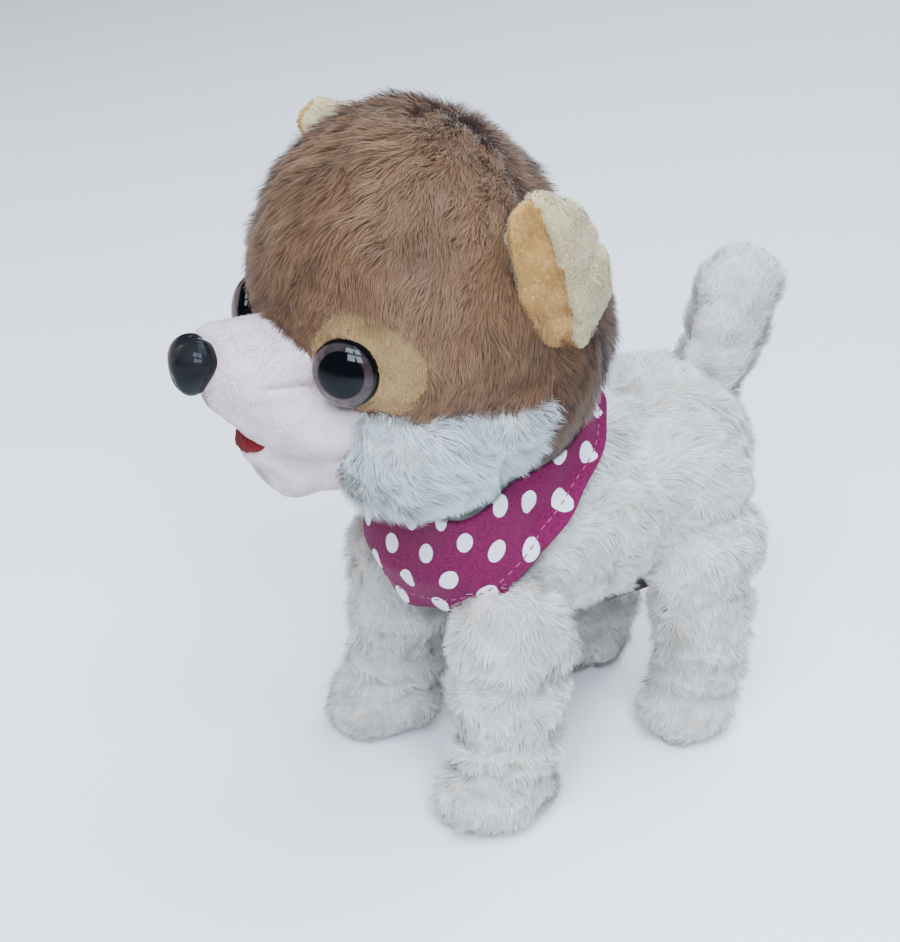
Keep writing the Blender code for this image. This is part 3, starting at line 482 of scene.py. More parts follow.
def cloth_material(name, dark, light, scale=900.0, strength=0.5, sheen=0.3, rough=0.85, patch=45.0):
    """Short pile or knitted backing: a fine grain in the colour and in the surface."""
    mat, tree, shader = nodes_of(name)
    grain = noise(tree, scale, 2.0)
    colour = ramp(tree, grain, [(0.3, dark), (0.7, light)])
    area = ramp(tree, noise(tree, patch), [(0.35, (0.9, 0.9, 0.9)), (0.65, (1.0, 1.0, 1.0))])
    tree.links.new(mixed(tree, colour, area, 1.0, "MULTIPLY"), shader.inputs["Base Color"])
    bump(tree, shader, grain, strength, 0.0006)
    gloss(shader, rough, 0.2, sheen)
    return mat


def moulded_material(
    name, dark, light, rough=0.45, scale=1400.0, strength=0.15, metal=0.0, stretch=(1, 1, 1)
):
    """Moulded plastic or metal: a fine texture, cloudy colour and uneven gloss."""
    mat, tree, shader = nodes_of(name)
    place = tree.nodes.new("ShaderNodeTexCoord").outputs["Object"]
    mapping = add(tree, "ShaderNodeMapping", Scale=stretch)
    tree.links.new(place, mapping.inputs["Vector"])
    grain = noise(tree, scale, 2.0, vector=mapping.outputs[0])
    cloud = noise(tree, 60.0, 3.0)
    tree.links.new(ramp(tree, cloud, [(0.3, dark), (0.7, light)]), shader.inputs["Base Color"])
    low, high = [(max(rough - 0.08, 0.03),) * 3, (min(rough + 0.08, 1.0),) * 3]
    tree.links.new(ramp(tree, cloud, [(0.3, low), (0.7, high)]), shader.inputs["Roughness"])
    bump(tree, shader, grain, strength, 0.0002)
    shader.inputs["Metallic"].default_value = metal
    return mat


BROWN_HAIR = hair_material(
    "brown_pile", (0.098, 0.042, 0.017), (0.175, 0.080, 0.033), (0.30, 0.162, 0.084), (0.66, 0.61, 0.58)
)
# The back of the head's pile is a darker copy of the brown pile: painted shade, for the back of the head lies
# in shadow.
SHADED_BROWN_HAIR = hair_material(
    "back_pile_painted_shade", (0.05, 0.019, 0.007), (0.100, 0.044, 0.018), (0.175, 0.090, 0.044), (0.66, 0.61, 0.58)
)
# The cream pile's bluish tips are painted cool skylight, and its warm, darker roots are painted warm shade
# deep in the pile.
CREAM_HAIR = hair_material(
    "cream_pile", (0.56, 0.42, 0.30), (0.78, 0.73, 0.66), (0.79, 0.87, 0.96), (0.86, 0.81, 0.76),
    sheen=0.10, tufts=(0.74, 0.71, 0.68), scale=45.0,
)
# The cheeks' pile is darkened in its roots and middle as painted shade under the head, and its bluish tips
# are painted cool skylight.
WHITE_HAIR = hair_material(
    "white_pile", (0.34, 0.31, 0.27), (0.58, 0.59, 0.58), (0.77, 0.85, 0.90), (0.80, 0.78, 0.77),
    sheen=0.10, tufts=(0.62, 0.61, 0.60), scale=60.0,
)
TAN_HAIR = hair_material(
    "tan_pile", (0.15, 0.070, 0.021), (0.27, 0.150, 0.052), (0.38, 0.235, 0.098), (0.86, 0.81, 0.77)
)
GOLD_HAIR = hair_material(
    "gold_pile", (0.20, 0.08, 0.014), (0.37, 0.17, 0.032), (0.52, 0.28, 0.075), (0.80, 0.75, 0.70)
)
EAR_HAIR = hair_material(
    "ear_pile", (0.28, 0.16, 0.06), (0.50, 0.37, 0.19), (0.70, 0.60, 0.42), (0.86, 0.82, 0.76)
)
SNOUT_HAIR = hair_material(
    "snout_pile", (0.44, 0.265, 0.25), (0.55, 0.39, 0.385), (0.68, 0.55, 0.56), (0.92, 0.87, 0.86)
)
BROWN_CLOTH = cloth_material("brown_backing", (0.09, 0.036, 0.013), (0.15, 0.066, 0.027))
# The back of the head's backing is likewise a darker copy of the brown backing: painted shade.
SHADED_BROWN_CLOTH = cloth_material("back_backing_painted_shade", (0.05, 0.021, 0.008), (0.09, 0.041, 0.018))
CREAM_CLOTH = cloth_material("cream_backing", (0.55, 0.48, 0.42), (0.70, 0.64, 0.58))
WHITE_CLOTH = cloth_material("white_backing", (0.55, 0.50, 0.46), (0.72, 0.70, 0.67))
TAN_CLOTH = cloth_material("tan_velour", (0.22, 0.12, 0.042), (0.30, 0.18, 0.068))
GOLD_CLOTH = cloth_material("gold_velour", (0.35, 0.165, 0.035), (0.48, 0.25, 0.06))
EAR_CLOTH = cloth_material("ear_fleece", (0.46, 0.32, 0.15), (0.60, 0.46, 0.25))
SNOUT_CLOTH = cloth_material("snout_velour", (0.54, 0.41, 0.385), (0.63, 0.51, 0.485), 1300.0, 0.35)
RED_CLOTH = cloth_material("red_felt_cloth", (0.075, 0.0012, 0.003), (0.15, 0.004, 0.008), 1100.0, 0.7, 0.03)


# ---------------------------------------------------------------- head


def eye_turn(side):
    look = Vector((side * 0.60, -0.78, 0.08))
    return Vector((0, 0, 1)).rotation_difference(look).to_matrix()


PATCH_RADII = (12, 18.2, 14.2)


def patch_place(side):
    turn = Matrix.Rotation(side * math.radians(-38), 3, "Z") @ Matrix.Rotation(math.radians(-12), 3, "X")
    return (side * 31.5, -83.5, 162), PATCH_RADII, turn


def head_flow(points):
    """The way the head's pile lies: forward and down from the seam at the top, and down the back."""
    side = points[:, 0] / 50
    top = step(172, 208, points[:, 2])
    forward = step(SEAM_BACK + 1, SEAM_BACK - 3, points[:, 1])
    ahead = top * (0.9 - 1.9 * forward) - (1 - top) * (0.60 * forward * np.abs(side) - 0.2 * (1 - forward))
    return np.stack([0.7 * side, ahead, -0.9 + 0.3 * top], 1)


def cheek_flow(points):
    """Back along the cheeks and down under the chin."""
    return np.stack([0.3 * np.sign(points[:, 0]), np.full(len(points), 0.75), np.full(len(points), -0.75)], 1)


def head_skin():
    """The head's backing, with its seams drawn in."""
    skin = form(HEAD, PILE_DEPTH, voxel=1.5)
    lumps, ripples = waves(11, 34), waves(12, 14)

    def shape(points):
        top_seam = groove(points[:, 0], 1.6) * step(180, 200, points[:, 2]) * step(-28, -40, points[:, 1])
        back_seam = groove(points[:, 1] - SEAM_BACK, 2.0)
        cheek_seam = groove(points[:, 2] - SEAM_CHEEK, 2.0) * step(-30, -36, points[:, 1])
        return 0.45 * lumps(points) + 0.25 * ripples(points) - 1.1 * (top_seam + back_seam + cheek_seam)

    skin.push(shape)
    return skin


def head():
    skin = head_skin()
    middles = skin.middles()
    eyes = [oval_depth(middles, *patch_place(side)) < 1 for side in SIDES.values()]
    rest = ~(eyes[0] | eyes[1])
    neck = (np.hypot(middles[:, 0], middles[:, 1] + 36) < 16) & (middles[:, 2] < 124)
    rest &= ~neck
    cheek = rest & (middles[:, 2] < SEAM_CHEEK) & (middles[:, 1] < SEAM_BACK)
    back = rest & (middles[:, 1] >= SEAM_BACK)
    crown = rest & ~cheek & ~back
    muzzle = [*blend_ovals(MUZZLE_ROOT, MUZZLE_TIP, 7), CHIN]

    def grow(name, chosen, seed, density, length, cloth, hair, node, flow=head_flow, **how):
        surface = skin.part(chosen)
        rng = np.random.default_rng(seed)
        roots, normals = surface.scatter(rng, density)
        keep = ~inside(roots, muzzle, -0.5)
        for side in SIDES.values():
            away = roots - np.array([side * EYE[0], *EYE[1:]])
            keep &= np.linalg.norm(away, axis=1) > 9.9
        roots, normals = roots[keep], normals[keep]
        size = length(roots) if callable(length) else np.full(len(roots), length)
        strands = pile(rng, roots, normals, flow(roots), size, seed=seed, **how)
        obj = plush(name, surface, strands, cloth, hair)
        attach(obj, "head")
        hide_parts(node)
        return obj

    def crown_length(points):
        """Trimmed short round the eye patches, the snout and the cheek seam."""
        near = np.minimum(*[oval_depth(points, *patch_place(side)) for side in SIDES.values()])
        above = step(-64, -74, points[:, 1])
        face = step(-76, -90, points[:, 1])
        seam = step(SEAM_CHEEK + 8, SEAM_CHEEK + 1, points[:, 2])
        return 6.6 - (0.8 + 1.7 * above) * step(1.45, 1.05, near) - 1.3 * face - 1.6 * seam

    for label, side in SIDES.items():
        half = crown & (side * middles[:, 0] > 0)
        obj = grow(
            f"crown_{label}_plush", half, 21 + side, 4.2, crown_length, BROWN_CLOTH, BROWN_HAIR,
            f"crown_{label}",
        )
        patch = grow(
            f"eye_patch_{label}_velour", eyes[0 if side == 1 else 1], 25 + side, 7.0, 1.5,
            TAN_CLOTH, TAN_HAIR, f"eye_patch_{label}", lean=45, width=0.12, clump=7, gather=0.5,
        )
    # The back of the head gets the darker copies of the brown pile and backing, as painted shade.
    obj = grow("back_of_head_plush", back, 31, 4.2, 5.6, SHADED_BROWN_CLOTH, SHADED_BROWN_HAIR, "back_of_head", lean=58)
    obj = grow(
        "cheeks_plush", cheek, 35, 4.4, 6.2, WHITE_CLOTH, WHITE_HAIR, "cheek_panel", cheek_flow,
        lean=46, swirl=0.9, clump=10, gather=0.4,
    )


# ---------------------------------------------------------------- snout, nose, mouth and eyes


def snout():
    """The pale velour snout, with the dart sewn along each side and the puffy lip below it."""
    skin = form([*blend_ovals(MUZZLE_ROOT, MUZZLE_TIP, 7), CHIN], 0.9, voxel=1.1)
    lumps = waves(41, 22)

    def shape(points):
        along = step(-74, -84, points[:, 1]) * step(-106, -98, points[:, 1])
        out = step(9, 13, np.abs(points[:, 0]))
        dart = groove(points[:, 2] - 154.4 - 0.05 * (points[:, 1] + 100), 0.9) * along * out
        above = groove(points[:, 2] - 159, 3.4) * along * out
        wide = np.abs(points[:, 0])
        lip = groove(points[:, 2] - 139, 6.5) * groove(points[:, 1] + 90, 9) * step(9, 16, wide)
        under = groove(points[:, 2] - 131.5, 2.6) * groove(points[:, 1] + 92, 9) * step(4, 10, wide)
        eye_room = step(15, 20, wide) * step(146, 151, points[:, 2]) * step(-100, -94, points[:, 1])
        chin = step(131, 124, points[:, 2]) * step(-94, -100, points[:, 1])
        swell = 0.35 * lumps(points) - 1.7 * dart + 0.5 * above + 2.9 * lip
        return swell - 2.2 * under - 2.0 * chin - 2.4 * eye_room

    skin.push(shape)
    rng = np.random.default_rng(42)
    surface = skin.part(~inside(skin.middles(), HEAD, -9))
    roots, normals = surface.scatter(rng, 8.0)
    keep = ~inside(roots, HEAD, -4)
    keep &= oval_depth(roots, NOSE, (8.2, 5.8, 8.2)) > 1
    keep &= oval_depth(roots, MOUTH, (8.2, 7.2, 3.4), MOUTH_TURN) > 1
    roots, normals = roots[keep], normals[keep]
    flow = np.stack([0.2 * np.sign(roots[:, 0]), np.full(len(roots), 0.8), np.full(len(roots), -0.5)], 1)
    strands = pile(
        rng, roots, normals, flow, np.full(len(roots), 0.9), lean=50, width=0.10, clump=0, swirl=0.9, seed=43
    )
    obj = plush("snout_velour", surface, strands, SNOUT_CLOTH, SNOUT_HAIR)
    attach(obj, "head")
    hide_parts("muzzle")


MOUTH_TURN = Matrix.Rotation(math.radians(38), 3, "X")


def ball(segments=64, rings=40):
    """The points and faces of a round ball of radius 1."""
    bm = bmesh.new()
    bmesh.ops.create_uvsphere(bm, u_segments=segments, v_segments=rings, radius=1)
    points = np.array([vert.co for vert in bm.verts])
    faces = [[vert.index for vert in face.verts] for face in bm.faces]
    bm.free()
    quads = np.array([face for face in faces if len(face) == 4])
    tips = np.array([face for face in faces if len(face) == 3])
    return points, [quads, tips]


def nose():
    points, faces = ball()
    x, y, z = points.T
    taper = 0.52 + 0.48 * step(-1.0, 0.35, z)
    flat_top = np.where(z > 0, 0.86, 1.08)
    shaped = np.stack([8.9 * x * taper, 6.4 * y, 8.7 * z * flat_top], 1)
    shaped[:, 2] -= 0.9 * np.exp(-((x / 0.22) ** 2)) * step(0.3, 0.9, z)  # the notch between the nostrils
    shaped[:, 1] += 0.9 * np.exp(-((x / 0.12) ** 2)) * step(0.2, 0.8, -y) * step(-0.2, -0.7, z)
    turn = np.array(Matrix.Rotation(math.radians(-8), 3, "X"))
    obj = mesh_object("nose_cap", shaped @ turn.T + np.array(NOSE), faces)
    mat, tree, shader = nodes_of("nose_gloss")
    cloud = noise(tree, 90.0)
    black = ramp(tree, cloud, [(0.3, (0.004, 0.004, 0.005)), (0.7, (0.012, 0.011, 0.012))])
    tree.links.new(black, shader.inputs["Base Color"])
    bump(tree, shader, noise(tree, 260.0), 0.05, 0.0003)
    gloss(shader, 0.07, 0.06)
    obj.data.materials.append(mat)
    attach(obj, "head")
    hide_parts("nose")


def mouth():
    """The felt lining that shows between the lips."""
    points, faces = ball(48, 28)
    shaped = points * np.array([7.6, 6.2, 2.9])
    shaped += 0.12 * waves(51, 3)(shaped)[:, None] * points
    obj = mesh_object("mouth_felt", shaped @ np.array(MOUTH_TURN).T + np.array(MOUTH) + [0, 1.4, 0.4], faces)
    obj.data.materials.append(RED_CLOTH)
    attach(obj, "head")
    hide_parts("mouth_lining")


def eyes():
    """Domed eyes: a thin black rim, a mauve ring and a wide pupil that lies a little off the middle."""
    mat, tree, shader = nodes_of("eye_gloss")
    spokes = noise(tree, 420.0, 2.0)
    iris = ramp(tree, spokes, [(0.3, (0.060, 0.036, 0.034)), (0.7, (0.125, 0.083, 0.080))])
    colour = mixed(tree, (0.0015, 0.0015, 0.002, 1), iris, attribute(tree, "iris"))
    tree.links.new(colour, shader.inputs["Base Color"])
    gloss(shader, 0.03, 0.14)
    for label, side in SIDES.items():
        points, faces = ball(128, 120)
        turn = np.array(eye_turn(side))
        shift = np.array([side * 0.05, 0, 0.07]) @ turn
        from_pupil = np.hypot(points[:, 0] - shift[0], points[:, 1] - shift[1])
        from_middle = np.hypot(points[:, 0], points[:, 1])
        # The ring is painted lighter towards its lower side: painted light, as the window's light would fall
        # through a clear dome onto the ring.
        low = unit(points @ turn.T) @ np.array([-side * 0.4, -0.2, -0.85])
        ring = step(0.66, 0.71, from_pupil) * step(0.945, 0.90, from_middle) * (points[:, 2] > 0)
        shaped = points * np.array(EYE_DOME)
        sunk = np.array([side * EYE[0], *EYE[1:]]) - EYE_SUNK * turn[:, 2] + [0, 0, 0.6]
        values = {"iris": ring * (0.6 + 0.55 * np.clip(low, -0.6, 0.8))}
        obj = mesh_object(f"eye_{label}_dome", shaped @ turn.T + sunk, faces, values=values)
        obj.data.materials.append(mat)
        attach(obj, "head")
        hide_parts(f"eye_{label}")


# ---------------------------------------------------------------- ears


def ears():
    """Folded ears: a smooth golden lining along the front edge, and a fuzzy back that folds over it."""
    for label, side in SIDES.items():
        skin = form([((0, 0, 0), EAR_SIZE), EAR_PAD], 0.9, voxel=0.9, smooth=4)
        half = EAR_SIZE[1] * np.sqrt(np.clip(1 - (skin.points[:, 2] / 26) ** 2, 0.04, 1))
        straight = np.where(skin.points[:, 1] < 0, np.minimum(half, EAR_FRONT) / half, 1.0)
        skin.points[:, 1] = straight * skin.points[:, 1] - EAR_SWEEP * skin.points[:, 2]
        skin.find_normals()

        def fold(points):
            """How far a point is behind the line where the ear folds over."""
            return points[:, 1] - 0.5 + 0.46 * points[:, 2]

        lumps = waves(61, 13)

        def shape(points):
            back = step(-1.2, 1.2, fold(points))
            pinch = groove(points[:, 2] - 8 - 0.5 * (points[:, 1] - 12), 1.5) * step(3, 10, points[:, 1])
            lining = (1 - back) * step(0.5, 3, points[:, 0])
            return 0.35 * lumps(points) + 1.3 * back - 1.5 * lining - 2.8 * pinch

        skin.push(shape)
        middles = skin.middles()
        golden = (fold(middles) < 0) & (middles[:, 0] > -1.0)
        turn = np.array(Matrix.Rotation(side * math.radians(14), 3, "Y"))
        centre = np.array([side * EAR_MIDDLE[0], *EAR_MIDDLE[1:]])
        for part, chosen, cloth, hair, length, density in (
            ("lining", golden, GOLD_CLOTH, GOLD_HAIR, 1.2, 8.0),
            ("back", ~golden, EAR_CLOTH, EAR_HAIR, 1.7, 8.0),
        ):
            surface = skin.part(chosen)
            points = surface.points * np.array([side, 1, 1])
            quads = surface.quads if side == 1 else surface.quads[:, ::-1]
            surface = Surface(points @ turn.T + centre, quads)
            rng = np.random.default_rng(62 + side)
            roots, normals = surface.scatter(rng, density)
            keep = ~inside(roots, HEAD, -2.5)
            roots, normals = roots[keep], normals[keep]
            flow = np.stack([np.zeros(len(roots)), np.full(len(roots), 0.5), np.full(len(roots), -0.8)], 1)
            strands = pile(
                rng, roots, normals, flow, np.full(len(roots), length), lean=42, width=0.10,
                clump=8 if part == "back" else 6, gather=0.38, swirl=0.9, seed=63 + side,
            )
            obj = plush(f"ear_{label}_{part}", surface, strands, cloth, hair, thickness=1.0)
            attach(obj, "head")
            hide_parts(f"ear_{label}")


# ---------------------------------------------------------------- body, legs and tail


FRONT_LEG = [
    ((LEG_X, -34, 68), (16, 20, 18)),
    *blend_ovals(((LEG_X, -34, 62), (16.5, 20.5, 18)), ((LEG_X, -36, 26), (16.5, 19.5, 16))),
    ((LEG_X, -42, 10.5), (17.5, 20.5, 13)),
]
REAR_LEG = [
    ((REAR_LEG_X, 44, 65), (15, 22.5, 23)),
    *blend_ovals(((REAR_LEG_X, 44, 48), (15, 19, 18)), ((REAR_LEG_X, 43, 24), (15, 17.5, 16))),
    ((REAR_LEG_X, 39, 10.5), (16.5, 19.5, 13)),
]
STRIDE = math.radians(2.3)
LEGS = {
    "front_left": (1, SHOULDER, FRONT_LEG), "front_right": (-1, SHOULDER, FRONT_LEG),
    "rear_left": (1, HIP, REAR_LEG), "rear_right": (-1, HIP, REAR_LEG),
}
BAND_MIDDLE = np.array([0, -28, 99.5])
BAND_SLOPE = math.atan2(42, 66)
BAND_UP = np.array([0, -math.sin(BAND_SLOPE), math.cos(BAND_SLOPE)])
BAND_BACK = np.array([0, math.cos(BAND_SLOPE), math.sin(BAND_SLOPE)])
BAND_TURN = 1.0  # above this height the bandana stands straight up instead of lying on the neck
SEAM_SHOULDER = 1.0  # y of the seam behind the front legs
SEAM_FLANK = 20.0  # y of the seam in front of the thighs


def body_flow(points):
    """Back along the spine, down the flanks and down the chest."""
    side = np.abs(points[:, 0]) / 36
    front = step(-20, -60, points[:, 1])
    return np.stack([0.12 * points[:, 0] / 36, 0.75 - 0.9 * front, 0.1 - 1.1 * side - 0.6 * front], 1)


def band_edges(angle):
    """The heights of the bandana's lower and upper edge at each angle round the neck, widest in front."""
    front = groove((angle + 1.5 * math.pi) % (2 * math.pi) - math.pi, 1.7)
    beside = np.abs(np.cos(angle)) ** 8
    return 1.5 - 15.5 * front, 6.0 + 20.0 * front + 4.5 * beside


def in_bandana(points, more=0.0):
    """Which points of the torso are under the bandana."""
    away = points - BAND_MIDDLE
    height = away @ BAND_UP
    low, high = band_edges(np.arctan2(away @ BAND_BACK, away[:, 0]))
    under_chin = points[:, 1] < -50
    return (height > low - more) & ((height < high - 2) | under_chin) & (points[:, 1] < 10)


def body():
    skin = form(TORSO, PILE_DEPTH, voxel=1.6)
    lumps, ripples = waves(71, 30), waves(72, 12)

    def shape(points):
        low = step(100, 85, points[:, 2])
        seams = groove(points[:, 1] - SEAM_SHOULDER, 2.2) + groove(points[:, 1] - SEAM_FLANK, 2.2)
        spine = groove(points[:, 0], 1.8) * step(100, 115, points[:, 2])
        return 0.75 * lumps(points) + (0.2 + 0.3 * low) * ripples(points) - 1.4 * seams - 0.5 * spine

    skin.push(shape)
    middles = skin.middles()
    tray = (np.abs(middles[:, 0]) < 18) & (middles[:, 1] > -32) & (middles[:, 1] < 46) & (middles[:, 2] < 66)
    head_room = inside(middles, HEAD, -5)
    kept = ~tray & ~head_room
    ranges = {
        "shoulder": (-99, SEAM_SHOULDER), "flank": (SEAM_SHOULDER, SEAM_FLANK), "rump": (SEAM_FLANK, 99),
    }
    for number, (part, (low, high)) in enumerate(ranges.items()):
        for label, side in SIDES.items():
            chosen = kept & (middles[:, 1] >= low) & (middles[:, 1] < high) & (side * middles[:, 0] > 0)
            surface = skin.part(chosen)
            rng = np.random.default_rng(80 + side + 4 * number)
            roots, normals = surface.scatter(rng, 5.6)
            keep = ~inside(roots, HEAD, -3) & ~in_bandana(roots, -1.0)
            for leg_side, _, ovals in LEGS.values():
                keep &= ~inside(roots, on_side(leg_side, ovals), -3.0)
            keep &= oval_depth(roots, (0, 66, 124), (10, 11, 12)) > 1
            roots, normals = roots[keep], normals[keep]
            length = np.full(len(roots), 5.2) - 2.4 * in_bandana(roots, 4.0)
            strands = pile(
                rng, roots, normals, body_flow(roots), length, lean=50, clump=11, gather=0.42, swirl=0.75,
                seed=81 + side + 4 * number,
            )
            obj = plush(f"{part}_{label}_plush", surface, strands, CREAM_CLOTH, CREAM_HAIR)
            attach(obj, "body")
            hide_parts("body_plush")


def legs():
    for number, (label, (side, (pivot_y, pivot_z), ovals)) in enumerate(LEGS.items()):
        skin = form(on_side(side, ovals), PILE_DEPTH - 1.2, voxel=1.5)
        lumps, ripples = waves(90 + number, 20), waves(95 + number, 9)
        rear = label.startswith("rear")

        def shape(points):
            wobble = 1.2 * waves(99, 18)(points)
            folds = 0.0
            for height, depth in REAR_FOLDS if rear else FRONT_FOLDS:
                folds = folds + depth * groove(points[:, 2] + wobble - height, 1.7)
            return 0.7 * lumps(points) + 0.35 * ripples(points) - 1.35 * folds

        skin.push(shape)
        angle = side * STRIDE
        turn = np.array(Matrix.Rotation(angle, 3, "X"))
        pivot = np.array([0, pivot_y, pivot_z])
        points = (skin.points - pivot) @ turn.T + pivot
        points[:, 2] = np.maximum(points[:, 2], SOLE)
        skin = Surface(points, skin.quads)
        surface = skin.part(~inside(skin.middles(), TORSO, -9))
        rng = np.random.default_rng(100 + number)
        roots, normals = surface.scatter(rng, 4.2)
        keep = ~inside(roots, TORSO, -PILE_DEPTH - 0.6) & (roots[:, 2] > 1.0)
        roots, normals = roots[keep], normals[keep]
        foot = step(26, 8, roots[:, 2])
        flow = np.stack(
            [0.25 * (roots[:, 0] - side * LEG_X) / 16, 0.30 - 0.9 * foot, -1.0 + 0.3 * foot], 1
        )
        length = np.full(len(roots), 5.0) - 0.8 * foot
        strands = pile(
            rng, roots, normals, flow, length, lean=48, clump=10, gather=0.42, swirl=0.8,
            seed=110 + 3 * number,
        )
        strands["points"][:, 2] = np.maximum(strands["points"][:, 2], FLOOR_GAP)
        obj = plush(f"leg_{label}_fur", surface, strands, CREAM_CLOTH, CREAM_HAIR)
        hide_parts(f"leg_{label}_plush")
        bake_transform(obj)


def tail():
    ovals = [
        ((0, 63, 112), (11, 12, 9)),
        *blend_ovals(((0, 66, 121), (12.5, 15, 12)), ((0, 73.5, 142), (14, 15, 14))),
    ]
    skin = form(ovals, 1.5, voxel=1.4)
    lumps = waves(121, 16)
    skin.push(lambda points: 0.5 * lumps(points))
    surface = skin.part(~inside(skin.middles(), TORSO, -8))
    rng = np.random.default_rng(122)
    roots, normals = surface.scatter(rng, 5.0)
    keep = ~inside(roots, TORSO, -PILE_DEPTH - 0.6)
    roots, normals = roots[keep], normals[keep]
    flow = np.tile([0.0, 0.3, 1.0], (len(roots), 1))
    strands = pile(
        rng, roots, normals, flow, np.full(len(roots), 4.6), lean=50, clump=10, gather=0.4, swirl=0.6,
        seed=123,
    )
    obj = plush("tail_fur", surface, strands, CREAM_CLOTH, CREAM_HAIR)
    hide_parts("tail_plush")
    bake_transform(obj)


# ---------------------------------------------------------------- bandana


def band_point(angle, height, away):
    """Where the neck's surface, grown by away, is met from its middle at each angle and height."""
    level = np.minimum(height, BAND_TURN)
    start = BAND_MIDDLE + level[:, None] * BAND_UP
    way = np.cos(angle)[:, None] * np.array([1, 0, 0]) + np.sin(angle)[:, None] * BAND_BACK
    reach = np.zeros(len(angle))
    away = np.broadcast_to(away, angle.shape)[:, None]
    for centre, radii in TORSO:
        size = np.array(radii) + away
        origin, ray = (start - np.array(centre)) / size, way / size
        a, b, c = (ray**2).sum(1), (origin * ray).sum(1), (origin**2).sum(1) - 1
        root = b * b - a * c
        reach = np.maximum(reach, np.where(root > 0, (-b + np.sqrt(np.maximum(root, 0))) / a, 0))
    ahead = (np.clip(-np.sin(angle), 0, 1) ** 2)[:, None]
    upward = unit((1 - ahead) * BAND_UP + ahead * np.array([0, 0.22, 1]))
    return start + way * reach[:, None] + (height - level)[:, None] * upward


def dotted_fleece():
    """Pink fleece printed with rows of dots, every other row half a step along."""
    mat, tree, shader = nodes_of("dotted_fleece")
    grain = noise(tree, 1200.0, 2.0)
    pink = ramp(tree, grain, [(0.3, (0.090, 0.003, 0.030)), (0.7, (0.155, 0.006, 0.051))])
    row = calc(tree, "ADD", calc(tree, "DIVIDE", attribute(tree, "up"), DOT_ROW), 0.12)
    shift = calc(tree, "MULTIPLY", calc(tree, "FLOOR", row), 0.5)
    along = calc(tree, "ADD", calc(tree, "DIVIDE", attribute(tree, "around"), DOT_STEP), shift)
    squares = []
    for place, spacing in ((along, DOT_STEP), (row, DOT_ROW)):
        away = calc(tree, "MULTIPLY", calc(tree, "SUBTRACT", calc(tree, "FRACT", place), 0.5), spacing)
        squares.append(calc(tree, "POWER", away, 2.0))
    rough_edge = calc(tree, "MULTIPLY", noise(tree, 700.0, 2.0), 2.6)
    dot = calc(tree, "LESS_THAN", calc(tree, "ADD", calc(tree, "ADD", *squares), rough_edge), DOT_REACH)
    tree.links.new(mixed(tree, pink, (0.66, 0.64, 0.67, 1), dot), shader.inputs["Base Color"])
    bump(tree, shader, grain, 0.6, 0.0007)
    gloss(shader, 0.9, 0.15, 0.05, 0.45)
    return mat


def bandana():
    """The fleece band round the neck: a strip with printed dots, a turned hem and its stitches."""
    columns, rows = 300, 26
    angle = np.linspace(-math.pi, math.pi, columns, endpoint=False) - math.pi / 2
    share = np.linspace(0, 1, rows)
    low, high = band_edges(angle)
    a = np.repeat(angle, rows)
    t = np.tile(share, columns)
    height = np.repeat(low, rows) * (1 - t) + np.repeat(high, rows) * t
    ripple = 0.5 * np.sin(7 * a + 3 * t) + 0.5 * waves(131, 18)(band_point(a, height, 1.0))
    loose = 2.7 + 0.8 * ripple * (1 - 0.6 * t) + 1.0 * np.exp(-((t / 0.12) ** 2))
    points = band_point(a, height, loose)
    index = np.arange(columns * rows).reshape(columns, rows)
    after = np.roll(index, -1, axis=0)
    quads = np.stack([index[:, :-1], after[:, :-1], after[:, 1:], index[:, 1:]], -1).reshape(-1, 4)
    middle_row = points.reshape(columns, rows, 3)[:, rows // 2]
    lengths = np.linalg.norm(np.roll(middle_row, -1, axis=0) - middle_row, axis=1)
    travelled = np.concatenate([[0], np.cumsum(lengths)[:-1]])
    surface = Surface(points, quads)
    closed, walls, _ = surface.shell(BAND_THICK)
    around = np.tile(np.repeat(travelled, rows), 2)
    up = np.tile(height - np.repeat(low, rows), 2)

    obj = mesh_object("bandana_cloth", closed, [walls], values={"around": around, "up": up})
    obj.data.materials.append(dotted_fleece())
    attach(obj, "body")
    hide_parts("bandana")

    thread, tree, shader = nodes_of("pink_thread")
    pink = ramp(tree, noise(tree, 900.0), [(0.3, (0.24, 0.018, 0.090)), (0.7, (0.34, 0.040, 0.140))])
    tree.links.new(pink, shader.inputs["Base Color"])
    shader.inputs["Roughness"].default_value = 0.6
    stitch, sides = ball(10, 6)
    made, groups, shift = [], [[], []], 0
    total_length = lengths.sum()
    for place in np.arange(0, total_length, STITCH_STEP):
        column = int(np.searchsorted(travelled, place)) % columns
        at = index[column, 4]
        ahead = unit((points[after[column, 4]] - points[at])[None])[0]
        out = surface.normals[at]
        across = np.cross(out, ahead)
        local = stitch * np.array([1.05, 0.24, 0.24])
        made.append(points[at] + out * 0.08 + local @ np.stack([ahead, across, out]))
        for group, faces_of in zip(groups, sides):
            group.append(faces_of + shift)
        shift += len(stitch)
    faces = [np.concatenate(group) for group in groups]
    stitches = mesh_object("bandana_stitches", np.concatenate(made), faces)
    stitches.data.materials.append(thread)
    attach(stitches, "body")


# ---------------------------------------------------------------- plastic, metal and wires


